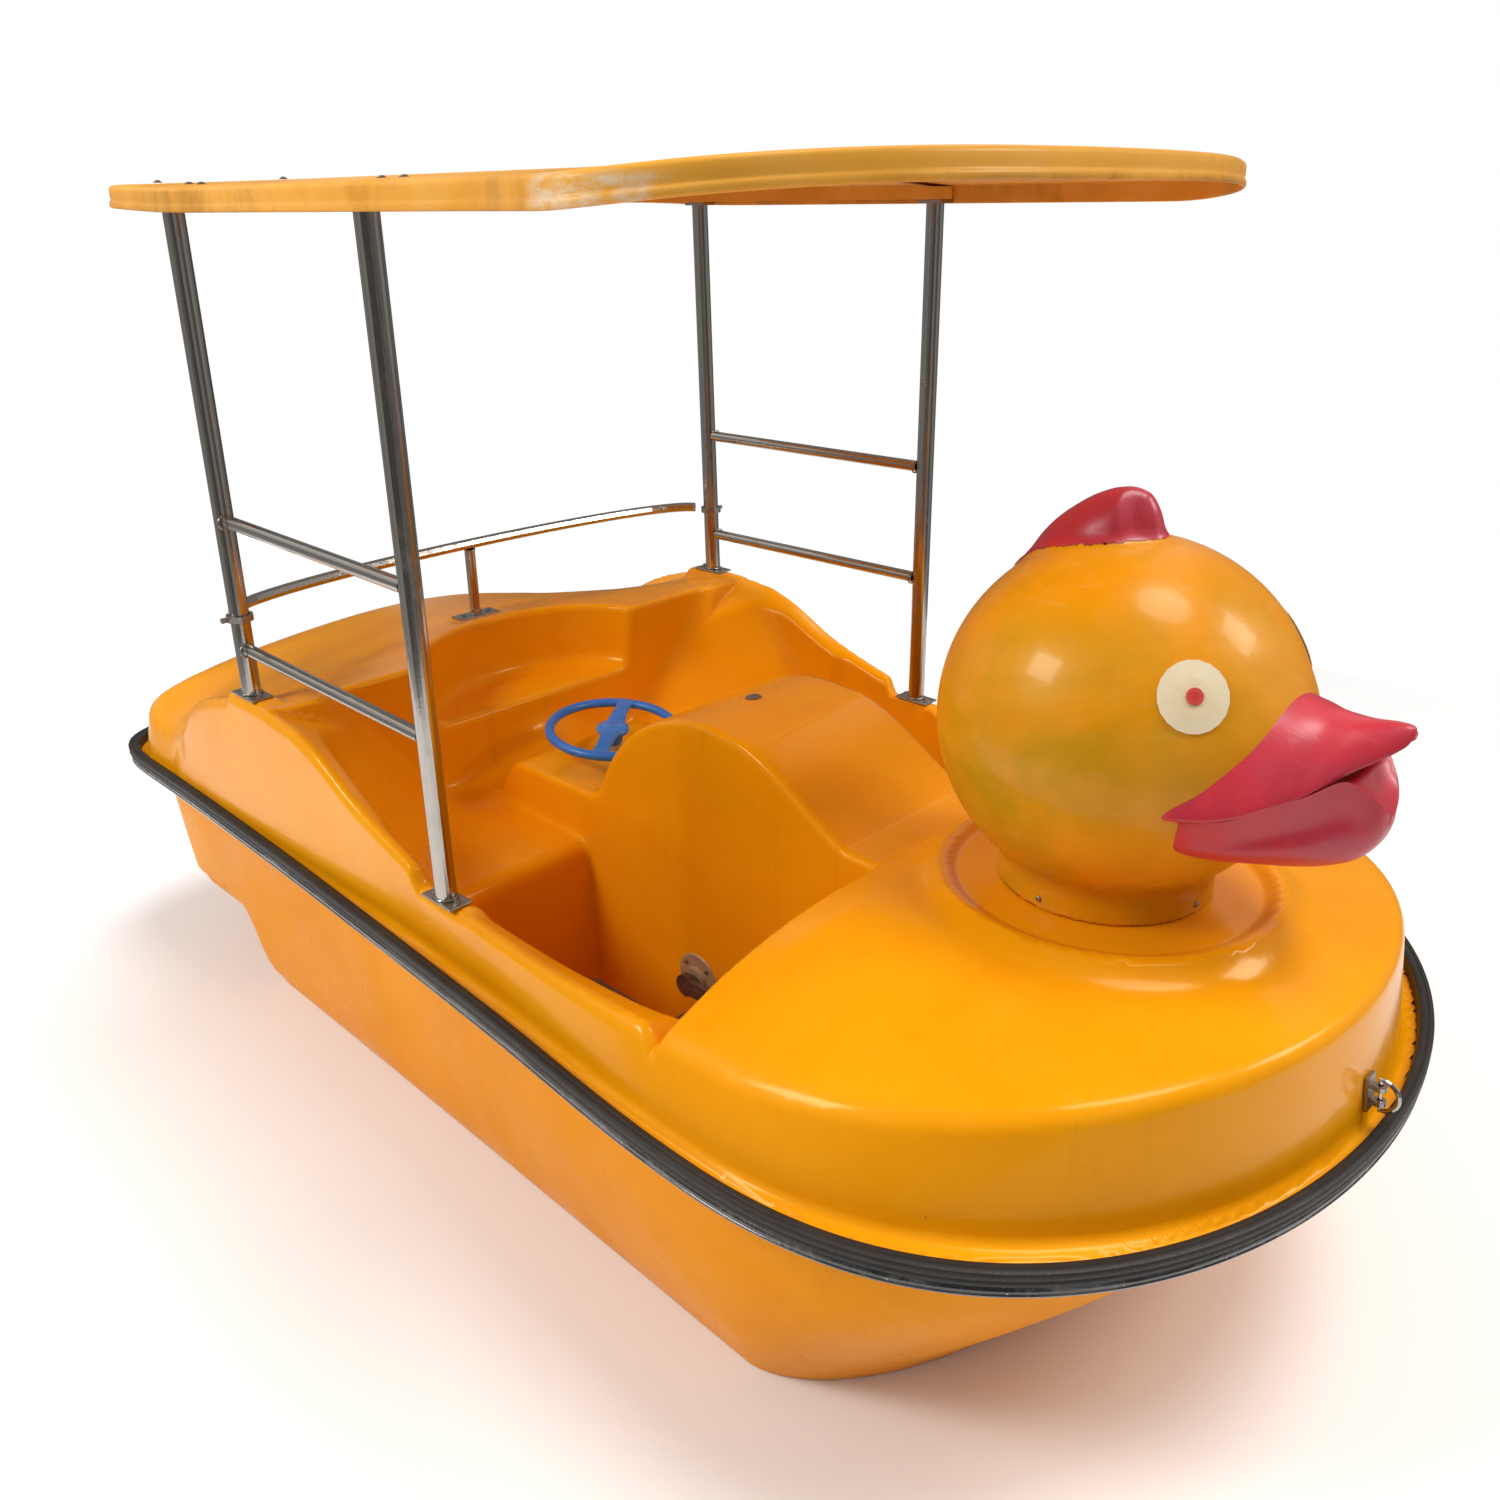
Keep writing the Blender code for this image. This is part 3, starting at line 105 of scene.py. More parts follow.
def smax(a, b, k):
    return -smin(-a, -b, k)


def rounded(u, v, ru, rv, power, across):
    """How far a point is outside u^power + v^across = 1, whose half axes are ru and rv, nearly."""
    u = np.maximum(u, 1e-6)
    v = np.maximum(v, 1e-6)
    total = u**power + v**across
    s = total ** (1 / across)
    slope = s ** (1 - across) / across * np.sqrt(
        (power * u ** (power - 1) / ru) ** 2 + (across * v ** (across - 1) / rv) ** 2
    )
    return (s - 1) / np.maximum(slope, 0.6 / max(ru, rv))


def plan_distance(x, a, bow, stern, side, power):
    """How far a plan point (a is |y|) is outside one of the boat's rounded outlines."""
    fore, aft = float(side(FORE_SHOULDER)), float(side(AFT_SHOULDER))
    ahead = rounded((x - FORE_SHOULDER) / (bow - FORE_SHOULDER), a / fore, bow - FORE_SHOULDER,
                    fore, power, 2.0)
    behind = rounded((AFT_SHOULDER - x) / (AFT_SHOULDER - stern), a / aft, AFT_SHOULDER - stern,
                     aft, 5.0, 5.0)
    return np.where(x > FORE_SHOULDER, ahead, np.where(x < AFT_SHOULDER, behind, a - side(x)))


def plan_points(bow, stern, side, power, out=0.0, fore_steps=110, side_steps=90, aft_steps=60):
    """The closed outline that plan_distance measures from, grown by out, port side first."""
    fore = float(side(FORE_SHOULDER)) + out
    aft = float(side(AFT_SHOULDER)) + out
    points = []
    for i in range(fore_steps):
        a = math.pi / 2 * i / fore_steps
        reach = (bow + out - FORE_SHOULDER) * math.cos(a) ** (2 / power)
        points.append((FORE_SHOULDER + reach, fore * math.sin(a)))
    for i in range(side_steps):
        x = FORE_SHOULDER + (AFT_SHOULDER - FORE_SHOULDER) * i / side_steps
        points.append((x, float(side(x)) + out))
    for i in range(aft_steps + 1):
        a = math.pi / 2 * i / aft_steps
        reach = (AFT_SHOULDER - stern + out) * math.sin(a) ** 0.4
        points.append((AFT_SHOULDER - reach, aft * max(math.cos(a), 0.0) ** 0.4))
    points[-1] = (points[-1][0], 0.0)
    return points + [(x, -y) for x, y in reversed(points[1:-1])]


# ---- meshes from fields and lofts
SETTLE_ROUNDS = 4


def surface_net(field, low, high, step):
    """A quad mesh of the surface field = 0 inside a box: points and faces."""
    axes = [np.arange(a, b + step, step) for a, b in zip(low, high)]
    x, y, z = np.meshgrid(*axes, indexing="ij", sparse=True)
    values = field(x, y, z)
    inside = values < 0
    nx, ny, nz = values.shape
    corners = [(i, j, k) for i in (0, 1) for j in (0, 1) for k in (0, 1)]
    count = sum(
        inside[i:nx - 1 + i, j:ny - 1 + j, k:nz - 1 + k].astype(np.int8) for i, j, k in corners
    )
    ci, cj, ck = np.nonzero((count > 0) & (count < 8))
    index = np.full((nx - 1, ny - 1, nz - 1), -1, np.int64)
    index[ci, cj, ck] = np.arange(len(ci))
    corner_values = [values[ci + i, cj + j, ck + k] for i, j, k in corners]
    total = np.zeros((len(ci), 3))
    hits = np.zeros(len(ci))
    for p in range(8):
        for q in range(p + 1, 8):
            a, b = np.array(corners[p]), np.array(corners[q])
            if np.abs(a - b).sum() != 1:
                continue
            va, vb = corner_values[p], corner_values[q]
            crossing = (va < 0) != (vb < 0)
            t = np.where(crossing, va / np.where(crossing, va - vb, 1.0), 0.0)
            place = a + t[:, None] * (b - a)
            total += place * crossing[:, None]
            hits += crossing
    base = np.stack([axes[0][ci], axes[1][cj], axes[2][ck]], 1)
    points = base + total / hits[:, None] * step
    faces = []
    for axis in range(3):
        near = [slice(1, -1)] * 3
        far = [slice(1, -1)] * 3
        near[axis], far[axis] = slice(None, -1), slice(1, None)
        change = inside[tuple(near)] != inside[tuple(far)]
        edge = np.array(np.nonzero(change))
        forward = inside[tuple(near)][tuple(edge)]
        edge[[d for d in range(3) if d != axis]] += 1
        b, c = (axis + 1) % 3, (axis + 2) % 3
        quad = []
        for db, dc in ((-1, -1), (0, -1), (0, 0), (-1, 0)):
            cell = edge.copy()
            cell[b] += db
            cell[c] += dc
            quad.append(index[tuple(cell)])
        quad = np.stack(quad, 1)
        quad[~forward] = quad[~forward][:, ::-1]
        faces.append(quad)
    faces = np.concatenate(faces)
    return points, faces[(faces >= 0).all(1)]


def settle(field, points, limit):
    """Moves points onto field = 0, and gives the outward directions there."""
    eps = 0.00005
    for _ in range(SETTLE_ROUNDS):
        x, y, z = points.T
        here = field(x, y, z)
        slope = np.stack([
            (field(x + eps, y, z) - field(x - eps, y, z)) / (2 * eps),
            (field(x, y + eps, z) - field(x, y - eps, z)) / (2 * eps),
            (field(x, y, z + eps) - field(x, y, z - eps)) / (2 * eps),
        ], 1)
        square = np.maximum((slope**2).sum(1), 0.1)
        move = -(here / square)[:, None] * slope
        length = np.linalg.norm(move, axis=1)
        move *= np.minimum(1.0, limit / np.maximum(length, 1e-12))[:, None]
        points = points + move
    return points, slope / np.maximum(np.linalg.norm(slope, axis=1), 1e-9)[:, None]


def linked(name, data):
    thing = bpy.data.objects.new(name, data)
    bpy.context.scene.collection.objects.link(thing)
    return thing


def new_object(name, points, faces, material, normals=None):
    mesh = bpy.data.meshes.new(name)
    mesh.from_pydata(np.asarray(points).tolist(), [], [list(f) for f in np.asarray(faces).tolist()]
                     if isinstance(faces, np.ndarray) else faces)
    mesh.materials.append(material)
    mesh.shade_smooth()
    if normals is not None:
        mesh.normals_split_custom_set_from_vertices(normals.tolist())
    return linked(name, mesh)


def skin(name, field, low, high, step, material, leave_out=None):
    """The surface of field as a piece, without the faces that leave_out picks."""
    points, faces = surface_net(field, low, high, step)
    points, normals = settle(field, points, step * 0.5)
    if leave_out is not None:
        middle = points[faces].mean(1)
        faces = faces[~leave_out(middle)]
        used = np.unique(faces)
        back = np.full(len(points), -1)
        back[used] = np.arange(len(used))
        points, normals, faces = points[used], normals[used], back[faces]
    return new_object(name, points, faces, material, normals)


def loft(name, rings, material, caps=(True, True), closed_rows=False, sharp=None):
    """A skin through rings of as many points each."""
    bm = bmesh.new()
    rows = [[bm.verts.new(p) for p in ring] for ring in rings]
    pairs = list(zip(rows, rows[1:]))
    if closed_rows:
        pairs.append((rows[-1], rows[0]))
    for a, b in pairs:
        for i in range(len(a)):
            j = (i + 1) % len(a)
            bm.faces.new((a[i], a[j], b[j], b[i]))
    if caps[0] and not closed_rows:
        bm.faces.new(rows[0])
    if caps[1] and not closed_rows:
        bm.faces.new(rows[-1])
    bmesh.ops.remove_doubles(bm, verts=bm.verts[:], dist=1e-6)
    bmesh.ops.dissolve_degenerate(bm, edges=bm.edges[:], dist=1e-6)
    bmesh.ops.recalc_face_normals(bm, faces=bm.faces[:])
    return from_bmesh(name, bm, material, sharp)


def from_bmesh(name, bm, material, sharp=None):
    mesh = bpy.data.meshes.new(name)
    bm.to_mesh(mesh)
    bm.free()
    mesh.materials.append(material)
    mesh.shade_smooth()
    if sharp:
        mesh.set_sharp_from_angle(angle=math.radians(sharp))
    return linked(name, mesh)


def turn_to(direction):
    turn = Vector((0, 0, 1)).rotation_difference(Vector(direction).normalized())
    return turn.to_matrix().to_4x4()


def circle(radius, z=0.0, count=28, move=Matrix()):
    """Points round a circle at height z, moved by move."""
    steps = (2 * math.pi * i / count for i in range(count))
    return [move @ Vector((radius * math.cos(a), radius * math.sin(a), z)) for a in steps]


def stand(at, along):
    """A frame at a point, with its z axis along a direction."""
    return Matrix.Translation(at) @ turn_to(along)


# ---- materials
class Nodes:
    """Short ways to build one material's nodes."""

    def __init__(self, name):
        self.material = bpy.data.materials.new(name)
        self.material.use_nodes = True
        self.tree = self.material.node_tree
        self.shader = self.tree.nodes["Principled BSDF"]
        self.place = self.tree.nodes.new("ShaderNodeTexCoord").outputs["Object"]

    def add(self, kind, **values):
        node = self.tree.nodes.new(kind)
        for key, value in values.items():
            if key in node.inputs:
                self.feed(node.inputs[key], value)
            else:
                setattr(node, key, value)
        return node

    def feed(self, socket, value):
        if isinstance(value, bpy.types.NodeSocket):
            self.tree.links.new(value, socket)
        else:
            socket.default_value = value

    def noise(self, scale, detail=3.0, rough=0.5, stretch=None, warp=0.0, offset=0.0):
        place = self.place
        if stretch or offset:
            moved = self.add("ShaderNodeMapping")
            moved.inputs["Scale"].default_value = stretch or (1, 1, 1)
            moved.inputs["Location"].default_value = (offset, offset * 0.7, offset * 1.3)
            self.feed(moved.inputs["Vector"], place)
            place = moved.outputs[0]
        made = self.add("ShaderNodeTexNoise")
        self.feed(made.inputs["Vector"], place)
        for key, value in (("Scale", scale), ("Detail", detail), ("Roughness", rough),
                           ("Distortion", warp)):
            made.inputs[key].default_value = value
        return made.outputs["Fac"]

    def ramp(self, value, low, high, to_low=0.0, to_high=1.0):
        made = self.add("ShaderNodeMapRange")
        self.feed(made.inputs["Value"], value)
        for key, number in (("From Min", low), ("From Max", high), ("To Min", to_low),
                            ("To Max", to_high)):
            made.inputs[key].default_value = number
        return made.outputs[0]

    def math(self, operation, a, b=0.0):
        made = self.add("ShaderNodeMath", operation=operation)
        self.feed(made.inputs[0], a)
        self.feed(made.inputs[1], b)
        return made.outputs[0]

    def times(self, a, b):
        return self.math("MULTIPLY", a, b)

    def blend(self, share, a, b):
        made = self.add("ShaderNodeMix", data_type="RGBA")
        self.feed(made.inputs[0], share)
        for socket, value in ((made.inputs[6], a), (made.inputs[7], b)):
            self.feed(socket, (*value, 1.0) if isinstance(value, tuple) else value)
        return made.outputs[2]

    def bump(self, *layers):
        """Layers of (height, metres) stacked."""
        normal = None
        for height, depth in layers:
            made = self.add("ShaderNodeBump")
            made.inputs["Strength"].default_value = 1.0
            made.inputs["Distance"].default_value = depth
            self.feed(made.inputs["Height"], height)
            if normal is not None:
                self.feed(made.inputs["Normal"], normal)
            normal = made.outputs[0]
        self.feed(self.shader.inputs["Normal"], normal)

    def set(self, **values):
        names = {"colour": "Base Color", "rough": "Roughness", "metal": "Metallic",
                 "coat": "Coat Weight", "coat_rough": "Coat Roughness", "ior": "IOR",
                 "specular": "Specular IOR Level", "tint": "Specular Tint"}
        for key, value in values.items():
            if isinstance(value, tuple):
                value = (*value, 1.0)
            self.feed(self.shader.inputs[names[key]], value)

    def edges(self, low, high):
        worn = self.add("ShaderNodeNewGeometry").outputs["Pointiness"]
        return self.ramp(worn, low, high)


def band_stains_and_highlight(n, colour):
    """Brown stains and one pale patch of painted highlight, on the roof's outer band only."""
    part = n.add("ShaderNodeSeparateXYZ")
    n.feed(part.inputs[0], n.place)
    x, y, z = part.outputs
    low = n.ramp(z, 1.790, 1.800, 1.0, 0.0)
    out = n.ramp(n.math("ABSOLUTE", y), 0.60, 0.66)
    out = n.math("MAXIMUM", out, n.ramp(n.math("ABSOLUTE", x), 0.84, 0.88))
    band = n.times(low, out)
    stain = n.noise(3.4, 5, 0.68, stretch=(1.0, 1.0, 0.5), warp=0.5, offset=21.0)
    stain = n.ramp(stain, 0.46, 0.66)
    colour = n.blend(n.times(n.times(stain, band), 0.62), colour, (0.36, 0.155, 0.022))
    # Painted highlight, not wear: a pale patch on the starboard band near x = 0.66, broken up by
    # noise.
    from_highlight = n.math("ABSOLUTE", n.math("SUBTRACT", x, 0.66))
    near = n.times(n.ramp(from_highlight, 0.06, 0.10, 1.0, 0.0), n.ramp(y, -0.55, -0.60))
    worn = n.ramp(n.noise(30.0, 5, 0.7, stretch=(0.6, 0.6, 1.6)), 0.42, 0.60)
    worn = n.times(n.times(worn, near), band)
    return n.blend(n.times(worn, 0.75), colour, (0.86, 0.70, 0.50))


def gelcoat(name, main, deep, pale, rough=0.20, mottled=0.5, coat=0.10, specular=0.24,
            banded=False):
    """Glass-fibre gelcoat: clouds of a deeper and a paler tone, runs, specks and scuffs."""
    n = Nodes(name)
    broad = n.ramp(n.noise(1.7, 3, 0.55, warp=0.6), 0.35, 0.66)
    clouds = n.ramp(n.noise(7.0, 4, 0.6, warp=0.8, offset=3.1), 0.38, 0.70)
    colour = n.blend(n.times(broad, mottled), main, deep)
    colour = n.blend(n.times(clouds, mottled * 0.6), colour, pale)
    runs = n.ramp(n.noise(5.0, 4, 0.6, stretch=(5.0, 5.0, 0.45), offset=8.0), 0.60, 0.78)
    colour = n.blend(n.times(runs, 0.16), colour, tuple(c * 0.62 for c in deep))
    specks = n.ramp(n.noise(150.0, 2, 0.5, offset=1.7), 0.735, 0.76)
    few = n.ramp(n.noise(6.0, 2, 0.5, offset=5.0), 0.5, 0.62)
    specks = n.times(specks, few)
    colour = n.blend(n.times(specks, 0.5), colour, (0.30, 0.13, 0.02))
    scuffs = n.ramp(n.noise(26.0, 6, 0.72, stretch=(1.0, 6.0, 3.0), warp=0.4), 0.60, 0.72)
    patch = n.ramp(n.noise(3.2, 3, 0.5, offset=12.0), 0.47, 0.62)
    scuffs = n.times(scuffs, patch)
    colour = n.blend(n.times(scuffs, 0.10), colour, (0.95, 0.62, 0.22))
    if banded:
        colour = band_stains_and_highlight(n, colour)
    n.set(colour=colour, coat=coat, coat_rough=0.05, ior=1.5, specular=specular,
          tint=(1.0, 0.70, 0.26))
    dull = n.noise(4.2, 5, 0.62, warp=0.3, offset=2.0)
    dull = n.ramp(dull, 0.35, 0.70, rough * 0.8, rough * 1.55)
    n.set(rough=n.math("ADD", dull, n.times(scuffs, 0.14)))
    n.bump((n.noise(4.5, 2, 0.4, offset=4.4), 0.0035), (n.noise(22.0, 3, 0.5), 0.0007),
           (n.noise(420.0, 2, 0.5), 0.00004))
    return n.material


def steel(name, tint=(0.45, 0.42, 0.385), rough=0.12, stretch=(40.0, 40.0, 1.2), streak=0.22):
    """Drawn stainless steel with lines along the tube and a few brown stains."""
    n = Nodes(name)
    draw = n.noise(14.0, 3, 0.6, stretch=stretch)
    lines = n.ramp(draw, 0.36, 0.64)
    stain = n.ramp(n.noise(11.0, 4, 0.65, offset=6.0), 0.55, 0.75)
    colour = n.blend(n.times(lines, streak), tint, tuple(c * 0.55 for c in tint))
    colour = n.blend(n.times(stain, 0.35), colour, (0.30, 0.20, 0.12))
    n.set(colour=colour, metal=1.0)
    n.set(rough=n.math("ADD", n.ramp(lines, 0, 1, rough * 0.75, rough * 1.35),
                       n.times(stain, 0.18)))
    n.bump((draw, 0.00012), (n.noise(90.0, 3, 0.6, offset=2.0), 0.00006))
    return n.material


def rubber(name):
    """Matt black rubber with dust."""
    n = Nodes(name)
    dust = n.ramp(n.noise(9.0, 5, 0.7), 0.42, 0.72)
    fine = n.noise(240.0, 3, 0.7)
    colour = n.blend(n.times(dust, 0.35), (0.014, 0.012, 0.011), (0.050, 0.042, 0.034))
    n.set(colour=colour, rough=n.ramp(fine, 0.3, 0.7, 0.42, 0.64), specular=0.40)
    n.bump((n.noise(30.0, 3, 0.6, offset=3.0), 0.0006), (fine, 0.00012))
    return n.material


def glossy_strip(name):
    """Glossy black plastic, rubbed grey in places, with pale streaks of painted highlight along it.
    """
    n = Nodes(name)
    worn = n.ramp(n.noise(40.0, 5, 0.75), 0.50, 0.70)
    # Painted highlights: pale grey streaks running along the strip.
    sheen_streaks = n.ramp(n.noise(7.0, 4, 0.6, stretch=(1.0, 1.0, 14.0)), 0.5, 0.72)
    colour = n.blend(n.times(worn, 0.50), (0.020, 0.021, 0.022), (0.21, 0.205, 0.19))
    colour = n.blend(n.times(sheen_streaks, 0.5), colour, (0.42, 0.415, 0.40))
    n.set(colour=colour, rough=n.ramp(worn, 0, 1, 0.08, 0.34), coat=0.8, coat_rough=0.06)
    n.bump((n.noise(25.0, 3, 0.6), 0.0008), (n.noise(160.0, 3, 0.7), 0.00018))
    return n.material


def plastic(name, main, deep, rough=0.4, grain=260.0, depth=0.00008, worn=(0.8, 0.8, 0.8)):
    """Moulded plastic with worn edges."""
    n = Nodes(name)
    cloud = n.ramp(n.noise(9.0, 4, 0.6), 0.35, 0.70)
    marks = n.ramp(n.noise(60.0, 6, 0.78, stretch=(1.0, 3.0, 1.0)), 0.62, 0.72)
    colour = n.blend(cloud, main, deep)
    colour = n.blend(n.times(marks, 0.28), colour, worn)
    colour = n.blend(n.times(n.edges(0.53, 0.58), 0.35), colour, worn)
    n.set(colour=colour, rough=n.ramp(n.noise(24.0, 4, 0.6), 0.35, 0.65, rough * 0.8, rough * 1.3))
    n.bump((n.noise(18.0, 3, 0.5), 0.0006), (n.noise(grain, 2, 0.5), depth))
    return n.material


def weathered(name, main, deep, rust, metal, rough=0.55):
    """Cast metal with spots of corrosion."""
    n = Nodes(name)
    cloud = n.ramp(n.noise(24.0, 5, 0.65), 0.35, 0.68)
    spots = n.ramp(n.noise(46.0, 6, 0.75, offset=4.0), 0.50, 0.66)
    colour = n.blend(cloud, main, deep)
    colour = n.blend(n.times(spots, 0.5), colour, rust)
    n.set(colour=colour, rough=n.ramp(spots, 0, 1, rough, min(rough + 0.25, 0.95)))
    n.set(metal=n.ramp(spots, 0, 1, metal, metal * 0.25))
    n.bump((n.noise(70.0, 5, 0.7), 0.0007), (n.noise(420.0, 3, 0.6), 0.00018))
    return n.material


def head_paint(name):
    """Hand-sprayed gloss paint: darker mustard patches over orange, with faint brush lines."""
    n = Nodes(name)
    patch = n.ramp(n.noise(4.2, 3, 0.5, warp=1.0, offset=1.0), 0.40, 0.64)
    patch2 = n.ramp(n.noise(6.5, 3, 0.5, warp=0.7, offset=9.0), 0.46, 0.68)
    colour = n.blend(n.times(patch, 0.85), (0.82, 0.300, 0.003), (0.58, 0.27, 0.005))
    part = n.add("ShaderNodeSeparateXYZ")
    n.feed(part.inputs[0], n.place)
    aft = n.times(n.ramp(part.outputs[0], 1.16, 0.98),
                 n.ramp(part.outputs[2], 1.26, 1.00))
    olive = n.times(aft, n.ramp(n.noise(5.2, 4, 0.6, warp=0.8, offset=14.0), 0.34, 0.60))
    colour = n.blend(n.times(olive, 0.85), colour, (0.47, 0.265, 0.006))
    colour = n.blend(n.times(patch2, 0.40), colour, (0.90, 0.38, 0.03))
    streaks = n.ramp(n.noise(9.0, 5, 0.7, stretch=(1.0, 1.0, 7.0), warp=0.5), 0.58, 0.72)
    colour = n.blend(n.times(streaks, 0.10), colour, (0.95, 0.66, 0.25))
    n.set(colour=colour, coat=0.14, coat_rough=0.10, ior=1.48, specular=0.32,
          tint=(1.0, 0.78, 0.42))
    n.set(rough=n.ramp(n.noise(7.0, 4, 0.6, offset=3.0), 0.35, 0.7, 0.26, 0.42))
    n.bump((n.noise(6.5, 3, 0.45, warp=0.4), 0.0045), (n.noise(45.0, 3, 0.6), 0.0004),
           (n.noise(360.0, 2, 0.5), 0.00005))
    return n.material


def red_paint(name):
    """Brushed red paint, thin in places, with a few chips."""
    n = Nodes(name)
    cloud = n.ramp(n.noise(10.0, 4, 0.6, warp=0.5), 0.35, 0.68)
    thin = n.ramp(n.noise(22.0, 5, 0.7, stretch=(1.0, 4.0, 1.0)), 0.55, 0.75)
    colour = n.blend(cloud, (0.60, 0.022, 0.040), (0.50, 0.030, 0.058))
    colour = n.blend(n.times(thin, 0.20), colour, (0.75, 0.09, 0.09))
    chips = n.ramp(n.noise(130.0, 3, 0.6), 0.74, 0.77)
    colour = n.blend(n.times(chips, 0.6), colour, (0.85, 0.36, 0.10))
    n.set(colour=colour, rough=n.ramp(thin, 0, 1, 0.36, 0.50), coat=0.12, coat_rough=0.2)
    n.bump((n.noise(14.0, 3, 0.5), 0.0016), (n.noise(70.0, 4, 0.6, stretch=(1, 3, 1)), 0.0003))
    return n.material


GEL = gelcoat("gelcoat_look", (0.92, 0.350, 0.003), (0.82, 0.285, 0.001), (0.94, 0.41, 0.008))
ROOF = gelcoat("roof_look", (0.90, 0.42, 0.055), (0.66, 0.27, 0.02), (0.92, 0.50, 0.13), 0.34, 0.7,
               0.05, 0.20, True)
HULL = gelcoat("hull_look", (0.88, 0.315, 0.002), (0.74, 0.245, 0.001), (0.90, 0.36, 0.006), 0.30,
               0.5, 0.0, 0.10)
HEAD_PAINT = head_paint("head_look")
RED = red_paint("red_look")
CREAM = plastic("cream_look", (0.86, 0.70, 0.44), (0.80, 0.62, 0.36), 0.42, 300, 0.00003,
                (0.90, 0.80, 0.60))
PUPIL = plastic("pupil_look", (0.62, 0.035, 0.028), (0.54, 0.025, 0.02), 0.42, 300, 0.00003,
                (0.75, 0.12, 0.09))
STEEL = steel("stainless_look")
STEEL_X = steel("stainless_rail_look", stretch=(1.2, 40.0, 40.0))
STEEL_PLATE = steel("stainless_plate_look", (0.42, 0.39, 0.36), 0.34, (9.0, 26.0, 9.0), 0.6)
RUBBER = rubber("rubber_look")
STRIP = glossy_strip("strip_look")
BLUE = plastic("blue_look", (0.030, 0.200, 0.68), (0.024, 0.160, 0.56), 0.34, 300, 0.00006,
               (0.25, 0.42, 0.72))
ALLOY = weathered("alloy_look", (0.50, 0.36, 0.20), (0.40, 0.28, 0.15), (0.27, 0.14, 0.06), 0.30)
IRON = weathered("crank_look", (0.17, 0.13, 0.10), (0.11, 0.08, 0.06), (0.26, 0.10, 0.035), 0.75,
                 0.48)
PEDAL = plastic("pedal_look", (0.055, 0.032, 0.022), (0.035, 0.022, 0.016), 0.55, 200, 0.0002,
                (0.16, 0.11, 0.08))
PADDLE = plastic("paddle_look", (0.80, 0.30, 0.012), (0.66, 0.23, 0.01), 0.38, 240, 0.0001,
                 (0.90, 0.55, 0.25))
PLUG = plastic("plug_look", (0.09, 0.07, 0.055), (0.05, 0.04, 0.035), 0.5, 200, 0.0001,
               (0.22, 0.18, 0.14))

LOOKS = (  # the first row that fits a node's name gives its look
    (STEEL_X, ("side_rail", "back_rail")),
    (STEEL_PLATE, ("post_base", "rail_collar", "bow_ring_plate")),
    (STEEL, ("post_", "neck_ring", "steering_column", "rudder_stock", "rudder_bearing", "drag_link",
             "bow_ring")),
    (PADDLE, ("paddle", "rudder_blade")),
    (PEDAL, ("pedal",)),
    (IRON, ("crank", "drive_shaft")),
    (ALLOY, ("shaft_bearing", "column_bearing", "steering_arm", "tiller_arm")),
    (PLUG, ("drain_plug", "housing_plug")),
    (ROOF, ("roof_beam",)),
    (CREAM, ("eye_disc",)),
    (PUPIL, ("eye_pupil",)),
    (BLUE, ("steering_wheel",)),
    (GEL, ("",)))
OWN_LOOKS = {"back_rail_base": STEEL_PLATE, "back_rail_post": STEEL}
ROUND = ("post_", "side_rail", "back_rail", "bow_ring", "drive_shaft", "rudder_stock")

for name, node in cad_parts.items():
    look = next(look for look, starts in LOOKS if name.startswith(starts))
    node.data.materials.clear()
    node.data.materials.append(OWN_LOOKS.get(name, look))
    if name.startswith(ROUND):
        node.data.shade_smooth()
        node.data.set_sharp_from_angle(angle=math.radians(42))


# ---- the deck
FLANGE_SIDE = curve([(AFT_SHOULDER, 0.676), (-0.60, 0.6861), (-0.17, 0.7024), (0.28, 0.7238),
                     (FORE_SHOULDER, 0.750)])
FLANGE = (FLANGE_BOW, FLANGE_STERN, FLANGE_SIDE, 2.5)
FOOT_SIDE = curve([(-1.10, 0.668), (-1.03, 0.676), (-0.53, 0.677), (-0.10, 0.676), (0.225, 0.688),
                   (0.75, 0.722)])
RIM_SIDE = curve([(-1.10, 0.653), (-1.03, 0.658), (-0.97, 0.668), (-0.60, 0.682), (-0.10, 0.686),
                  (0.088, 0.690), (0.40, 0.686), (0.75, 0.672)])
FOOT_LINE = (1.431, -1.387, FOOT_SIDE, 2.2)
RIM_LINE = (1.4085, -1.350, RIM_SIDE, 2.23)
RIM = curve([(-1.50, 0.622), (-1.08, 0.625), (-1.00, 0.660), (-0.914, 0.738), (-0.79, 0.795),
             (-0.66, 0.826), (-0.54, 0.838), (-0.42, 0.832), (-0.345, 0.812), (-0.18, 0.735),
             (-0.02, 0.684), (0.088, 0.656), (0.22, 0.642), (0.44, 0.634), (0.58, 0.634),
             (0.75, 0.637), (1.08, 0.677), (1.41, 0.717)])
CROWN = curve([(-1.40, 0.665), (-1.30, 0.725), (-1.10, 0.790), (-0.95, 0.812), (-0.80, 0.829),
               (-0.62, 0.836), (-0.50, 0.836), (0.40, 0.722), (0.645, 0.726), (0.75, 0.748),
               (1.30, 0.760)])
FALL = curve([(-1.40, 0.12), (-1.30, 0.20), (-1.10, 0.37), (-0.95, 0.30), (-0.80, 0.18),
              (-0.65, 0.05), (-0.50, 0.0)])
INSIDE = curve([(-0.60, 0.596), (-0.45, 0.610), (-0.30, 0.624), (-0.12, 0.634), (0.088, 0.640),
                (0.30, 0.634), (0.48, 0.620), (0.60, 0.606), (0.70, 0.600)])
RAIL_PAD = (-0.771, 0.8287)
PADS = ((0.088, 0.668, 0.640, 0.064, 0.025), (-0.603, 0.655, 0.842, 0.060, 0.025))


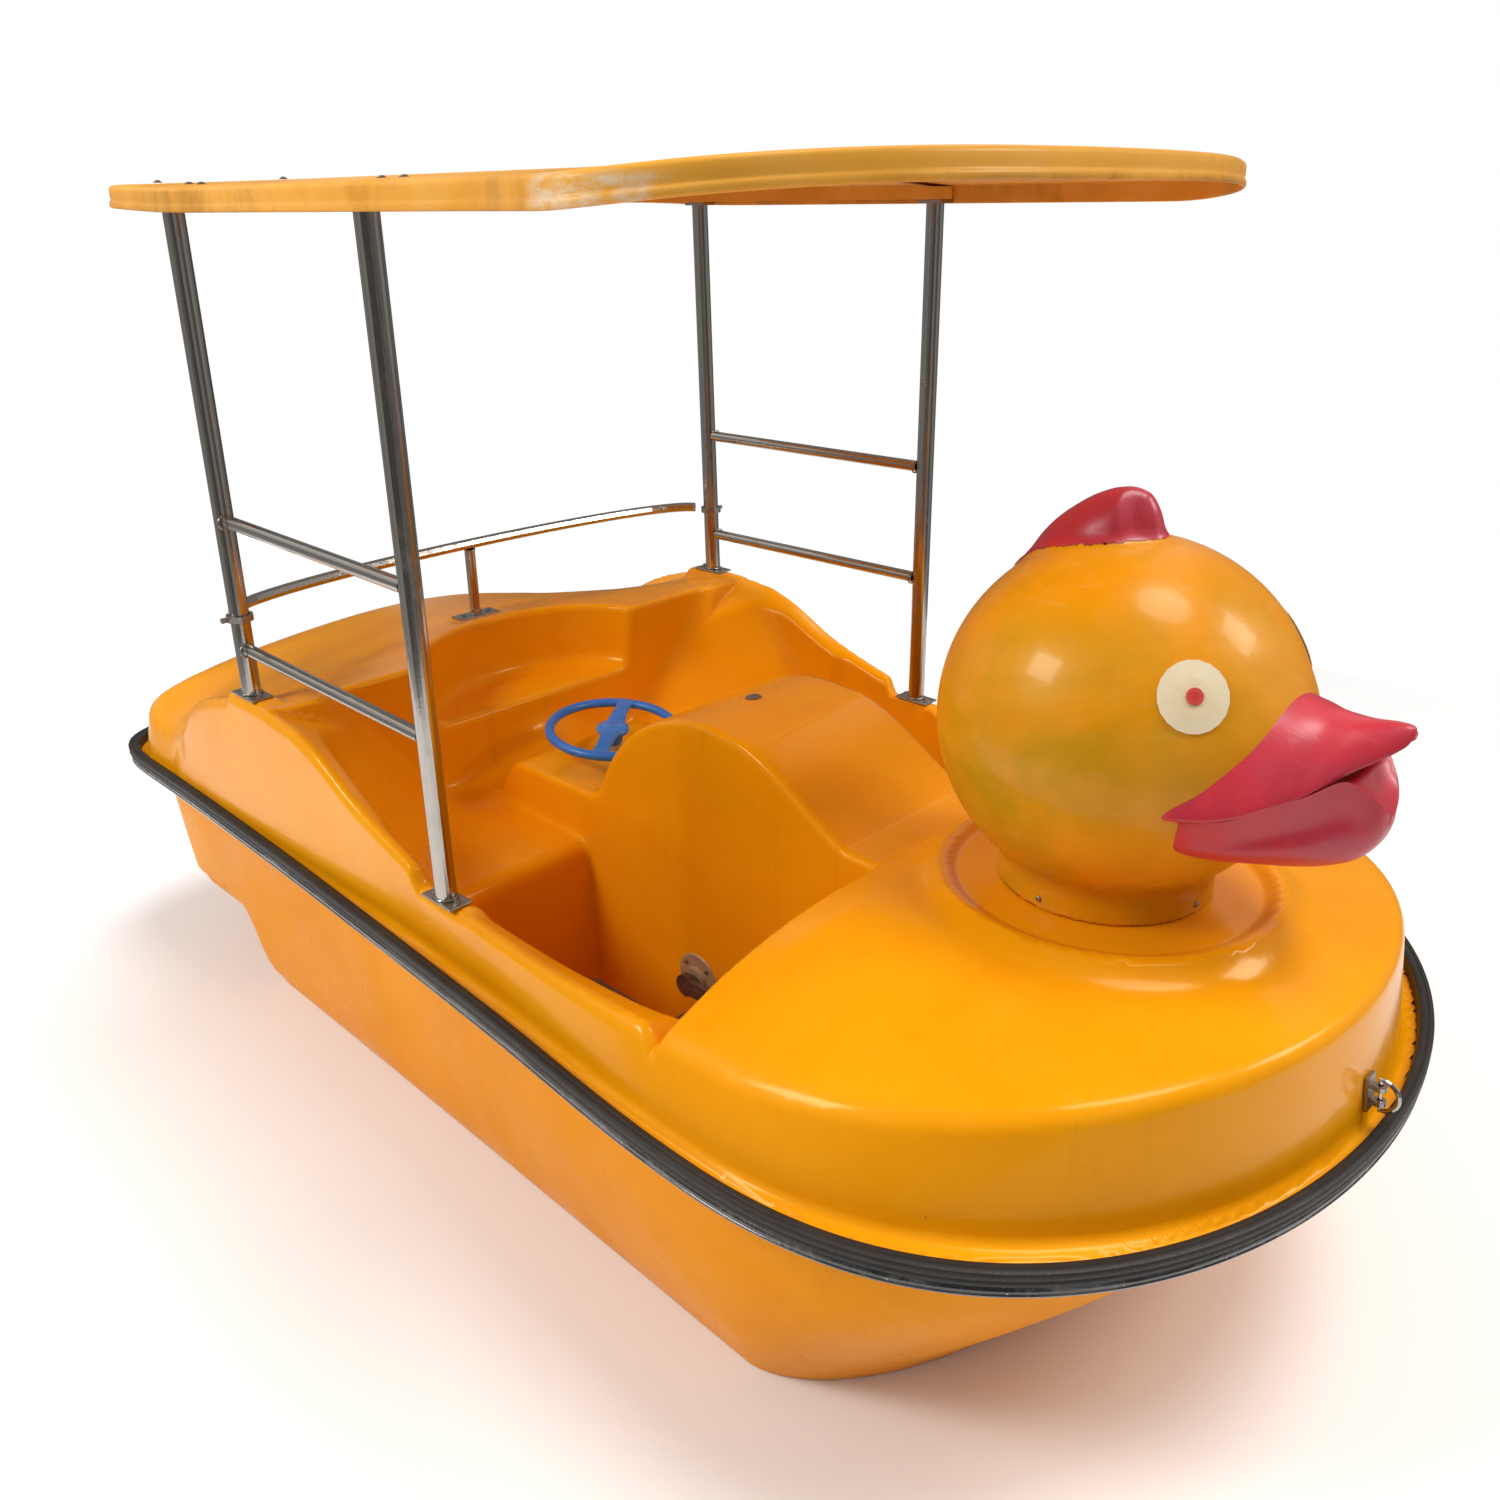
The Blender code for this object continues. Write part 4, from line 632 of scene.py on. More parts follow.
def deck_top(x, a, rim_distance):
    """Height of the moulding's upper skin over a plan point, before the cockpit is cut."""
    q = np.maximum(-rim_distance, 0.0)
    t = np.minimum(q / 0.40, 1.0)
    rim = RIM(x)
    fore = rim + (np.maximum(CROWN(x), rim + 0.03) - rim) * (t * (2 - t)) ** 1.1
    aft = CROWN(x) - FALL(x) * a * a
    body = mix(aft, fore, smoothstep(0.20, 0.60, x))
    body = body - 0.3 * smoothstep(-0.50, -0.45, x) * (1 - smoothstep(0.58, 0.66, x))
    fender = rim - 0.48 * np.maximum(q - 0.012, 0.0) - 0.4 * smoothstep(0.60, 0.85, x)
    fender = fender - 0.4 * smoothstep(-1.02, -1.10, x)
    top = smax(body, fender, 0.022)
    ring = np.hypot(x - NECK[0], a)
    collar = smax(top, NECK[1] + 0.010 - 1.1 * np.maximum(ring - 0.272, 0.0), 0.03)
    dish = NECK[1] + 0.010 * smoothstep(0.236, 0.262, ring)
    top = mix(dish, collar, smoothstep(0.252, 0.270, ring))
    for px, py, pz, half, wide in PADS:
        near = (1 - smoothstep(half, half + 0.03, np.abs(x - px))) * (
            1 - smoothstep(wide, wide + 0.018, np.abs(a - py)))
        top = mix(top, pz, near)
    rail_x, rail_z = RAIL_PAD
    base = (1 - smoothstep(0.024, 0.05, np.abs(x - rail_x))) * (1 - smoothstep(0.058, 0.09, a))
    return mix(top, rail_z, base)


def cockpit(x, a, z):
    """How far a point is outside the space that people sit and put their feet in."""
    side = a - (INSIDE(x) - 0.065 * (0.64 - z))
    front = x - (0.645 - 0.16 * (0.64 - z))
    foot = smax(smax(side, front, 0.12), FLOOR - z, 0.05)
    foot = smax(foot, -0.125 - x, 0.03)
    back = (-0.512 - 0.10 * (0.84 - z)) - x
    wing = -(0.577 * x - 0.666 * a + 0.474 * z + 0.2611)
    seat = smax(side, smax(back, wing, 0.02), 0.035)
    hump = 0.085 * np.exp(-((a / 0.15) ** 2)) * smoothstep(-0.36, -0.53, x)
    seat = smax(seat, 0.50 + hump - z, 0.07)
    seat = smax(seat, x - 0.10, 0.02)
    space = smin(foot, seat, 0.045)
    bow = (np.hypot((x + 0.50) / 0.205, a / 0.283) - 1) * 0.22
    bow = np.where(x > -0.50, a - 0.283, bow)
    shelf = smax(smax(bow, 0.68 - z, 0.035), x + 0.40, 0.02)
    return smin(space, shelf, 0.02)


def housing(x, a, z):
    """How far a point is outside the console and the paddle housing."""
    drum = np.where(z > 0.525, np.hypot(x - 0.232, z - 0.525), np.abs(x - 0.232)) - 0.335
    console = smax(z - 0.61, -0.814 * x + 0.581 * z - 0.672, 0.03)
    console = smax(console, x - 0.10, 0.01)
    ramp = smax(z - (0.722 + 0.35 * np.maximum(0.58 - x, 0.0)), 0.36 - x, 0.03)
    ramp = smax(ramp, x - 0.80, 0.03)
    side = smin(smin(drum, console, 0.05), ramp, 0.09)
    return smax(side, a - (0.185 + 0.02 * (0.60 - z)), 0.014)


def from_column(x, y, z):
    """Distances along and away from the steering column's axis."""
    up = (x - COLUMN.x) * TILT.x + (z - COLUMN.z) * TILT.z
    return up, np.sqrt(np.maximum((x - COLUMN.x) ** 2 + y * y + (z - COLUMN.z) ** 2 - up * up, 0))


def deck(x, y, z):
    """How far a point is outside the moulding, with the cockpit cut and the console added."""
    a = np.abs(y)
    flange = plan_distance(x, a, *FLANGE)
    foot = plan_distance(x, a, *FOOT_LINE)
    rim = plan_distance(x, a, *RIM_LINE)
    share = np.clip((z - FLANGE_TOP) / (RIM(x) - FLANGE_TOP), -0.2, 1.4)
    wall = mix(foot, rim, share)
    soft = mix(0.026, 0.022, smoothstep(0.3, 0.8, x))
    body = smax((z - deck_top(x, a, rim)) * 0.95, wall, soft)
    lip = FLANGE_TOP - 0.004 * smoothstep(-0.026, -0.019, flange)
    form = smin(body, z - lip, 0.016)
    form = smax(form, flange, 0.004)
    form = smax(form, -cockpit(x, a, z), 0.014)
    form = smin(form, housing(x, a, z), 0.014)
    up, off = from_column(x, y, z)
    boss = smax(off - 0.036, up - 0.009, 0.004)
    return smin(form, boss, 0.006)


def deck_waste(p):
    """Faces that lie under the flange or in the bores."""
    x, y, z = p.T
    a = np.abs(y)
    flange = plan_distance(x, a, *FLANGE)
    up, off = from_column(x, y, z)
    shaft = (np.hypot(x - SHAFT[0], z - SHAFT[1]) < 0.022) & (a > 0.16) & (a < 0.21)
    return ((flange > -0.006) & (z < 0.510)) | ((off < 0.016) & (up > 0)) | shaft


STEP = 0.0105
moulding = skin("deck_moulding_skin", deck, (-1.47, -0.777, 0.075), (1.48, 0.777, 0.885), STEP,
                GEL, deck_waste)
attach(moulding, "boat")
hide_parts("deck_moulding")


# ---- the hull
def bottom(x):
    """Height of the flat bottom, which steps up near the stern."""
    return 0.16 * (1 - smoothstep(-0.98, -0.86, x))


HULL_ROWS = [(0, 1.385, -1.392, 0.700, 0.630, 2.5, 0.508, -0.30),
             (1, 1.310, -1.352, 0.690, 0.622, 2.2, 0.320, -0.05),
             (2, 1.180, -1.300, 0.655, 0.612, 1.9, 0.150, 0.050),
             (3, 1.090, -1.275, 0.622, 0.602, 1.75, 0.050, 0.016),
             (4, 1.050, -1.245, 0.600, 0.580, 1.7, 0.000, 0.000)]


def side_between(fore, aft):
    return lambda x: aft + (fore - aft) * np.clip(
        (x - AFT_SHOULDER) / (FORE_SHOULDER - AFT_SHOULDER), 0, 1) ** 1.5


def make_hull():
    """The hull's lofted shell, open under the paddle wheel, and the walls of its well."""
    tables = [curve([(row[0], row[i]) for row in HULL_ROWS]) for i in range(1, 8)]
    counts = ((110, 90, 60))
    lip = plan_points(*FLANGE, 0.0, *counts)
    rings = [[(x, y, z) for x, y in lip] for z in (0.5095, 0.5050)]
    first = plan_points(1.393, -1.400, side_between(0.708, 0.638), 2.5, 0.0, *counts)
    rings.append([(x, y, 0.5046) for x, y in first])
    rows = 48
    for i in range(rows + 1):
        v = 4 * i / rows
        bow, stern, fore, aft, power, z, lift = [float(t(v)) for t in tables]
        ring = []
        for x, y in plan_points(bow, stern, side_between(fore, aft), power, 0.0, *counts):
            level = z - 0.006 * (v < 0.02)
            floor_here = float(bottom(x)) + lift
            if z < 0.33 and x < -0.70:
                raised = float(smax(np.float64(z), np.float64(floor_here), 0.035))
                level = mix(raised, z, float(smoothstep(-0.80, -0.70, x)))
            ring.append((x, y, max(level, float(bottom(x)) * (z < 0.2))))
        rings.append(ring)
    last = rings[-1]
    for share in (0.75, 0.5, 0.25, 0.0):
        rings.append([(-0.1 + (x + 0.1) * (0.82 + 0.18 * share), y * share, 0.0)
                      for x, y, _ in last])
    rings = [[(x, y, z if k < 3 + rows else float(bottom(x))) for x, y, z in ring]
             for k, ring in enumerate(rings)]
    hull = loft("hull_shell_skin", rings, HULL, (False, False))
    bm = bmesh.new()
    bm.from_mesh(hull.data)
    wx, wy = WELL
    for point, normal in (((SHAFT[0] - wx, 0, 0), (1, 0, 0)), ((SHAFT[0] + wx, 0, 0), (1, 0, 0)),
                          ((0, -wy, 0), (0, 1, 0)), ((0, wy, 0), (0, 1, 0))):
        low = [f for f in bm.faces if max(v.co.z for v in f.verts) < 0.002
               and abs(f.calc_center_median().x - SHAFT[0]) < 0.6]
        parts = list({v for f in low for v in f.verts})
        parts += list({e for f in low for e in f.edges}) + low
        bmesh.ops.bisect_plane(bm, geom=parts, plane_co=point, plane_no=normal)
    gone = [f for f in bm.faces if f.calc_center_median().z < 0.002
            and abs(f.calc_center_median().x - SHAFT[0]) < wx
            and abs(f.calc_center_median().y) < wy]
    bmesh.ops.delete(bm, geom=gone, context="FACES")
    bmesh.ops.recalc_face_normals(bm, faces=bm.faces[:])
    bm.to_mesh(hull.data)
    bm.free()
    hull.data.shade_smooth()
    hull.data.set_sharp_from_angle(angle=math.radians(50))
    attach(hull, "boat")
    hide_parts("hull_shell")
    rings = []
    for grow, z in ((0.0, 0.0), (0.0, 0.262), (0.0015, 0.268), (0.004, 0.268), (0.005, 0.262),
                    (0.005, 0.003)):
        corner = 0.02
        ring = []
        for cx, cy, turn in ((1, 1, 0), (-1, 1, 90), (-1, -1, 180), (1, -1, 270)):
            for k in range(7):
                b = math.radians(turn + 15 * k)
                ring.append((SHAFT[0] + cx * (wx - corner) + (corner + grow) * math.cos(b),
                             cy * (wy - corner) + (corner + grow) * math.sin(b), z))
        rings.append(ring)
    well = loft("paddle_well_walls", rings, GEL, (False, False), True, 40)
    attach(well, "boat")


make_hull()


# ---- rub rail, its insert and rivets
def ring_rail(name, section, material, node):
    counts = ((120, 90, 60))
    rings = []
    for out, z in section:
        rings.append([(x, y, z) for x, y in
                      plan_points(*FLANGE, out, *counts)])
    rail = loft(name, rings, material, (False, False), True, 35)
    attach(rail, "boat")
    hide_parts(node)


ring_rail("rub_rail_skin", [
    (0.0006, 0.5087), (0.0140, 0.5087), (0.0170, 0.5097), (0.0180, 0.5125), (0.0180, 0.5170),
    (0.0172, 0.5182), (0.0172, 0.5196), (0.0180, 0.5208), (0.0180, 0.5275), (0.0168, 0.5302),
    (0.0140, 0.5318), (0.0108, 0.5318), (0.0096, 0.5304), (0.0078, 0.5304), (0.0066, 0.5318),
    (0.0008, 0.5318), (-0.0030, 0.5292), (-0.0050, 0.5190), (-0.0056, 0.5125)],
          RUBBER, "rub_rail")
ring_rail("rub_rail_insert_skin", [
    (0.0006, 0.4862), (0.0080, 0.4862), (0.0124, 0.4874), (0.0150, 0.4902), (0.0158, 0.4932),
    (0.0152, 0.4944), (0.0142, 0.4950), (0.0142, 0.4990), (0.0152, 0.4996), (0.0158, 0.5008),
    (0.0150, 0.5040), (0.0124, 0.5068), (0.0080, 0.5078), (0.0006, 0.5078)], STRIP,
    "rub_rail_insert")


class Small:
    """Many small fittings gathered into one piece."""

    def __init__(self):
        self.bm = bmesh.new()

    def rows(self, rings):
        """Walls between rings of as many points each."""
        rows = [[self.bm.verts.new(p) for p in ring] for ring in rings]
        for a, b in zip(rows, rows[1:]):
            for i in range(len(a)):
                j = (i + 1) % len(a)
                self.bm.faces.new((a[i], a[j], b[j], b[i]))
        return rows

    def loop(self, rings):
        """The same, with walls from the last ring to the first as well."""
        rows = self.rows(rings)
        first, last = rows[0], rows[-1]
        for i in range(len(first)):
            j = (i + 1) % len(first)
            self.bm.faces.new((last[i], last[j], first[j], first[i]))

    def turned(self, profile, at, along, sides=14):
        rows = self.rows([circle(r, z, sides, stand(at, along)) for r, z in profile])
        self.bm.faces.new(rows[-1])
        self.bm.faces.new(list(reversed(rows[0])))

    def rivet(self, at, along, radius=0.0030, height=0.0014):
        arc = [(radius * math.cos(a), height * math.sin(a)) for a in (0, 0.45, 0.9, 1.3)]
        self.turned([(radius, -0.001), *arc], at, along)

    def screw(self, at, along, radius=0.0048, washer=0.0):
        if washer:
            self.turned([(washer, -0.001), (washer, 0.0006), (washer - 0.0006, 0.0011)], at,
                        along, 20)
        lift = Vector(along).normalized() * (0.0010 if washer else 0.0)
        arc = [(radius, -0.0005), (radius, 0.0010), (radius * 0.86, 0.0021),
               (radius * 0.55, 0.0027)]
        slot = [(radius * 0.30, 0.0028), (radius * 0.22, 0.0016)]
        self.turned(arc + slot, Vector(at) + lift, along, 18)

    def bolt(self, at, along, radius=0.0075):
        self.turned([(radius * 1.45, -0.001), (radius * 1.45, 0.0010), (radius * 1.35, 0.0014)], at,
                    along, 20)
        up = Vector(along).normalized() * 0.0013
        self.turned([(radius, 0.0), (radius, 0.0036), (radius * 0.84, 0.0048)], Vector(at) + up,
                    along, 6)

    def bead(self, points, radius):
        """A weld bead: a slightly lumpy ring along points."""
        rings = []
        for i, p in enumerate(points):
            ahead = points[(i + 1) % len(points)] - points[i - 1]
            fat = radius * (1 + 0.16 * math.sin(i * 2.1))
            rings.append(circle(fat, 0.0, 8, stand(p, ahead)))
        self.loop(rings)

    def done(self, name, material, body, slot):
        bmesh.ops.recalc_face_normals(self.bm, faces=self.bm.faces[:])
        piece = from_bmesh(name, self.bm, material, 40)
        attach(piece, body)
        return piece


def spaced(points, gap):
    """Points a gap apart along a closed outline, with the outward directions there."""
    track = np.array(points + [points[0]])
    walk = np.concatenate([[0], np.cumsum(np.linalg.norm(np.diff(track, axis=0), axis=1))])
    count = int(walk[-1] // gap)
    for i in range(count):
        s = walk[-1] * (i + 0.5) / count
        x, y = np.interp(s, walk, track[:, 0]), np.interp(s, walk, track[:, 1])
        x2 = np.interp(s + 0.002, walk, track[:, 0])
        y2 = np.interp(s + 0.002, walk, track[:, 1])
        yield (x, y), Vector((y2 - y, -(x2 - x), 0)).normalized()


rivets = Small()
edge_line = plan_points(*FLANGE, 0.0142)
for (x, y), out in spaced(edge_line, 0.148):
    rivets.rivet((x, y, 0.4970), out, 0.0021, 0.0010)
rivets.done("rub_rail_rivets", STEEL_PLATE, "boat", "stainless")


# ---- the roof
ROOF_PLAN = [
    (0.915, 0.0), (0.912, 0.12), (0.893, 0.30), (0.853, 0.46), (0.795, 0.60), (0.735, 0.685),
    (0.66, 0.737), (0.58, 0.745), (0.49, 0.725), (0.40, 0.704), (0.28, 0.700), (-0.20, 0.690),
    (-0.80, 0.672), (-0.875, 0.65), (-0.925, 0.59), (-0.95, 0.45), (-0.955, 0.20), (-0.955, 0.0),
]


def spline_loop(points, steps):
    """A smooth closed line through points."""
    p = np.array(points)
    count = len(p)
    made = []
    for i in range(count):
        a, b, c, d = (p[(i + k) % count] for k in (-1, 0, 1, 2))
        gaps = [max(np.linalg.norm(v) ** 0.5, 1e-6) for v in (b - a, c - b, d - c)]
        t0, t1 = 0.0, gaps[0]
        t2, t3 = t1 + gaps[1], t1 + gaps[1] + gaps[2]
        for k in range(steps):
            t = t1 + (t2 - t1) * k / steps
            a1 = (t1 - t) / (t1 - t0) * a + (t - t0) / (t1 - t0) * b
            a2 = (t2 - t) / (t2 - t1) * b + (t - t1) / (t2 - t1) * c
            a3 = (t3 - t) / (t3 - t2) * c + (t - t2) / (t3 - t2) * d
            b1 = (t2 - t) / (t2 - t0) * a1 + (t - t0) / (t2 - t0) * a2
            b2 = (t3 - t) / (t3 - t1) * a2 + (t - t1) / (t3 - t1) * a3
            made.append((t2 - t) / (t2 - t1) * b1 + (t - t1) / (t2 - t1) * b2)
    return np.array(made)


def roof_edge(x):
    return (ROOF_EDGE + 0.030 * smoothstep(0.58, 0.94, x)
            + 0.010 * (1 - smoothstep(-0.95, -0.5, x)))


def roof_top(x, inset):
    high = roof_edge(x) + ROOF_BAND
    return high + (ROOF_CROWN - high) * (1 - (1 - inset / 0.70) ** 2)


def make_roof():
    """The canopy's shell in rings from the middle of its underside over the edge to its crown."""
    whole = ROOF_PLAN + [(x, -y) for x, y in reversed(ROOF_PLAN[1:-1])]
    plan = spline_loop(whole, 12)
    under = [(s, "under") for s in (0.699, 0.55, 0.40, 0.27, 0.17, 0.09, 0.045, 0.020, 0.009)]
    edge = [(0.0066, 0.030), (0.0058, 0.006), (0.0050, 0.0012), (0.0035, 0.0), (0.0014, 0.0006),
            (0.0, 0.0035), (0.0, 0.0085), (0.0012, 0.0118), (0.0026, 0.0135), (0.0030, 0.0160),
            (0.0024, 0.0220), (0.0026, 0.0320), (0.0040, 0.0364), (0.0075, 0.0394),
            (0.0120, 0.0401)]
    over = [(s, "over") for s in (0.020, 0.035, 0.06, 0.09, 0.13, 0.18, 0.24, 0.31, 0.39, 0.48,
                                  0.58, 0.66, 0.699)]
    rings = []
    for inset, rise in under + edge + over:
        ring = []
        for x, y in plan:
            px, py = x * (1 - inset / 0.95), y * (1 - inset / 0.70)
            if rise == "over":
                z = float(roof_top(px, inset))
            elif rise == "under":
                z = float(roof_top(px, inset)) - 0.006
            else:
                z = float(roof_edge(px)) + rise
            ring.append((px, py, z))
        rings.append(ring)
    roof = loft("canopy_roof_skin", rings, ROOF, (True, True), False, 60)
    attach(roof, "boat")
    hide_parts("canopy_roof")
    screws = Small()
    for x, y in ((-0.86, 0.52), (-0.86, -0.30), (-0.86, -0.56), (-0.63, 0.60), (-0.58, -0.60),
                 (-0.63, -0.60), (0.06, 0.62), (0.12, 0.62), (0.06, -0.62), (0.12, -0.62),
                 (-0.58, 0.60), (-0.86, 0.10)):
        inset = 0.70 * (1 - abs(y) / 0.69)
        screws.screw((x, y, float(roof_top(x, max(inset, 0.02)))), (0, 0, 1), 0.0052, 0.008)
    screws.done("roof_screws", IRON, "boat", "stainless")


make_roof()


# ---- the duck's head
CREST_TOP = curve([(0.786, 1.240), (0.802, 1.260), (0.822, 1.291), (0.846, 1.318), (0.878, 1.344),
                   (0.909, 1.3635), (0.940, 1.3755), (0.960, 1.3785), (0.982, 1.3745),
                   (0.999, 1.357), (1.011, 1.330), (1.020, 1.300)])
CREST_HALF = curve([(0.786, 0.012), (0.802, 0.024), (0.830, 0.044), (0.870, 0.064), (0.920, 0.0745),
                    (0.960, 0.068), (0.990, 0.050), (1.008, 0.036), (1.020, 0.024)])


def crest(x, y, z):
    """How far a point is outside the crest on the duck's head."""
    low = 1.18
    half = CREST_HALF(x)
    rise = (z - low) / (CREST_TOP(x) - low)
    body = (np.maximum(rise, 0) ** 3.4 + (y / half) ** 2) ** 0.5 - 1
    front = smoothstep(0.955, 0.985, x) * np.exp(-((y + 0.028) / 0.020) ** 2) * 0.006
    ends = np.maximum(0.782 - x, x - 1.021)
    return smax(smax(body * half * 0.85 + front, ends, 0.012), low - z, 0.01)


def ball(x, y, z):
    return np.sqrt((x - HEAD[0]) ** 2 + y * y + (z - HEAD[2]) ** 2) - HEAD_RADIUS


def head(x, y, z):
    """How far a point is outside the duck's head with its neck and the crest's core."""
    neck = smax(np.hypot(x - HEAD[0], y) - NECK_RADIUS, z - HEAD[2], 0.05)
    form = smin(ball(x, y, z), neck, 0.022)
    root = np.sqrt(((x - 1.190) / 0.060) ** 2 + (y / 0.105) ** 2 + ((z - 1.075) / 0.060) ** 2) - 1
    form = smin(form, root * 0.055, 0.035)
    form = smin(form, crest(x, y, z), 0.020)
    return smax(form, NECK[1] + 0.0008 - z, 0.003)


fine = 0.0068
shell = skin("head_shell_skin", head, (0.69, -0.29, 0.74), (1.275, 0.29, 1.39), fine, HEAD_PAINT,
             lambda p: p[:, 2] < NECK[1] + 0.0006)
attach(shell, "boat")
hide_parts("head_shell")


def crest_paint(x, y, z):
    """A coat over the crest that ends where the crest meets the round of the head."""
    form = smin(ball(x, y, z), crest(x, y, z), 0.020) - 0.0008
    return smax(form, 0.0042 - ball(x, y, z), 0.0006)


top = skin("head_crest_skin", crest_paint, (0.775, -0.085, 1.225), (1.035, 0.085, 1.390),
           0.0032, RED)
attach(top, "boat")
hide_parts("head_crest")

UPPER = [  # x, half width, ridge, lip, height under the middle
    (1.120, 0.205, 1.163, 0.990, 1.030), (1.160, 0.206, 1.152, 0.991, 1.030),
    (1.200, 0.186, 1.142, 0.992, 1.030), (1.236, 0.162, 1.133, 1.000, 1.040),
    (1.272, 0.138, 1.126, 1.018, 1.052), (1.295, 0.113, 1.122, 1.0285, 1.060),
    (1.3245, 0.088, 1.121, 1.0535, 1.077), (1.3465, 0.060, 1.1235, 1.072, 1.090),
    (1.362, 0.044, 1.1265, 1.083, 1.096), (1.374, 0.034, 1.1280, 1.0925, 1.102),
    (1.386, 0.0235, 1.1285, 1.101, 1.107), (1.3940, 0.0150, 1.1265, 1.108, 1.111),
    (1.3975, 0.0060, 1.1215, 1.1145, 1.116)]
LOWER = [  # x, half width, rim, keel, waist as a share of the half width
    (1.120, 0.190, 0.980, 0.912, 0.99), (1.170, 0.190, 0.984, 0.905, 0.98),
    (1.220, 0.165, 0.990, 0.900, 0.95), (1.270, 0.128, 1.012, 0.900, 0.90),
    (1.310, 0.102, 1.036, 0.905, 0.86), (1.345, 0.074, 1.058, 0.917, 0.86),
    (1.362, 0.056, 1.045, 0.929, 0.92), (1.376, 0.040, 1.029, 0.947, 0.98),
    (1.385, 0.024, 1.011, 0.967, 1.0), (1.3895, 0.007, 0.998, 0.984, 1.0)]


def upper_section(half, ridge, lip, under, across):
    thick = 0.007 * min(1.0, half / 0.03)
    ring = []
    for k in range(across + 1):
        r = -math.cos(math.pi * k / across)
        ring.append((half * r, lip + (ridge - lip) * max(1 - r * r, 0) ** 0.8))
    for k in range(across + 1):
        r = 0.985 * math.cos(math.pi * k / across)
        ring.append((half * r, lip - thick + (under - lip + thick) * max(1 - r * r, 0) ** 0.8))
    return ring


def lower_section(half, rim, keel, waist, across):
    ring = []
    for k in range(across + 1):
        r = -math.cos(math.pi * k / across)
        ring.append((half * r, rim - 0.010 * min(1, half / 0.06) * (1 - r**4)))
    tall = rim - keel
    for k in range(across + 1):
        u = k / across
        b = math.pi * u
        drop = math.sin(b) ** 0.55 if 0 < u < 1 else 0.0
        pinch = 1 - (1 - waist) * math.exp(-((drop - 0.38) / 0.16) ** 2)
        r = math.copysign(abs(math.cos(b)) ** 0.75, math.cos(b)) * 0.985 * pinch
        ring.append((half * r, rim - 0.003 - (tall - 0.003) * drop))
    return ring


def make_bill(name, stations, node, section):
    """Half of the duck's bill, lofted through its stations and eased."""
    tables = [curve([(row[0], row[i]) for row in stations]) for i in range(1, 5)]
    rows = 90
    across = 44
    rings = []
    for i in range(rows + 1):
        u = i / rows
        x = stations[0][0] + (stations[-1][0] - stations[0][0]) * (1 - (1 - u) ** 1.6)
        rings.append([(x, y, z) for y, z in section(*[float(t(x)) for t in tables], across)])
    bill = loft(name, rings, RED, (True, True), False, 60)
    smooth = bill.modifiers.new("ease", "SMOOTH")
    smooth.factor = 0.5
    smooth.iterations = 4
    graph = bpy.context.evaluated_depsgraph_get()
    mesh = bpy.data.meshes.new_from_object(bill.evaluated_get(graph))
    bill.modifiers.clear()
    bill.data = mesh
    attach(bill, "boat")
    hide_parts(node)


make_bill("upper_bill_skin", UPPER, "upper_bill", upper_section)
make_bill("lower_bill_skin", LOWER, "lower_bill", lower_section)

neck_screws = Small()
for turn in (-94.9, -6.9, 83.0, 173.0):
    out = Vector((math.cos(math.radians(turn)), math.sin(math.radians(turn)), 0))
    neck_screws.screw(Vector((HEAD[0], 0, NECK[1] + 0.018)) + out * (NECK_RADIUS + 0.0008), out,
                      0.0050)
neck_screws.done("neck_screws", STEEL_PLATE, "boat", "stainless")


# ---- the steering wheel
def make_wheel():
    """The steering wheel: rim with finger notches below, dished hub and two spokes."""
    centre = COLUMN + TILT * ((WHEEL_Z - COLUMN.z) / TILT.z)
    move = stand(centre, TILT)
    made = Small()
    around, sides = ((96, 20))
    rings = []
    for i in range(around):
        a = 2 * math.pi * i / around
        ring = []
        for k in range(sides):
            b = 2 * math.pi * k / sides
            r = 0.1415 + 0.0108 * math.cos(b) - 0.0006 * (math.sin(b) < -0.5) * math.cos(12 * a)
            ring.append(move @ Vector((r * math.cos(a), r * math.sin(a), 0.0102 * math.sin(b))))
        rings.append(ring)
    made.loop(rings)
    hub = [(0.0, -0.034), (0.019, -0.034), (0.021, -0.031), (0.0235, -0.012), (0.033, -0.008),
           (0.0365, -0.004), (0.0372, 0.001), (0.0350, 0.0050), (0.0300, 0.0072), (0.012, 0.0090),
           (0.0, 0.0092)]
    made.rows([circle(max(r, 1e-5), z, 40, move) for r, z in hub])
    for turn in (128, 308):
        spin = Matrix.Rotation(math.radians(turn), 4, "Z")
        rings = []
        for i in range(17):
            u = i / 16
            s = 0.020 + u * 0.118
            wide = 0.0160 + 0.0075 * (1 - u) ** 3 + 0.0060 * u**5
            deep = 0.0072 + 0.0015 * u**3
            z = 0.0015 + 0.004 * math.sin(math.pi * u) * 0.6
            rings.append([move @ spin @ Vector((
                s, wide * math.copysign(abs(math.cos(b)) ** 0.7, math.cos(b)),
                z + deep * math.copysign(abs(math.sin(b)) ** 0.8, math.sin(b))))
                for b in (2 * math.pi * k / 20 for k in range(20))])
        rows = made.rows(rings)
        made.bm.faces.new(rows[0])
        made.bm.faces.new(rows[-1])
    bmesh.ops.recalc_face_normals(made.bm, faces=made.bm.faces[:])
    wheel = from_bmesh("steering_wheel_skin", made.bm, BLUE, 50)
    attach(wheel, "steering")
    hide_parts("steering_wheel")
    cap = Small()
    cap.turned([(0.0225, 0.0), (0.0225, 0.0010), (0.0212, 0.0018), (0.0120, 0.0012), (0.0, 0.0010)],
               centre + TILT * 0.0068, TILT, 32)
    cap.done("wheel_cap", BLUE, "steering", "blue_plastic")


make_wheel()


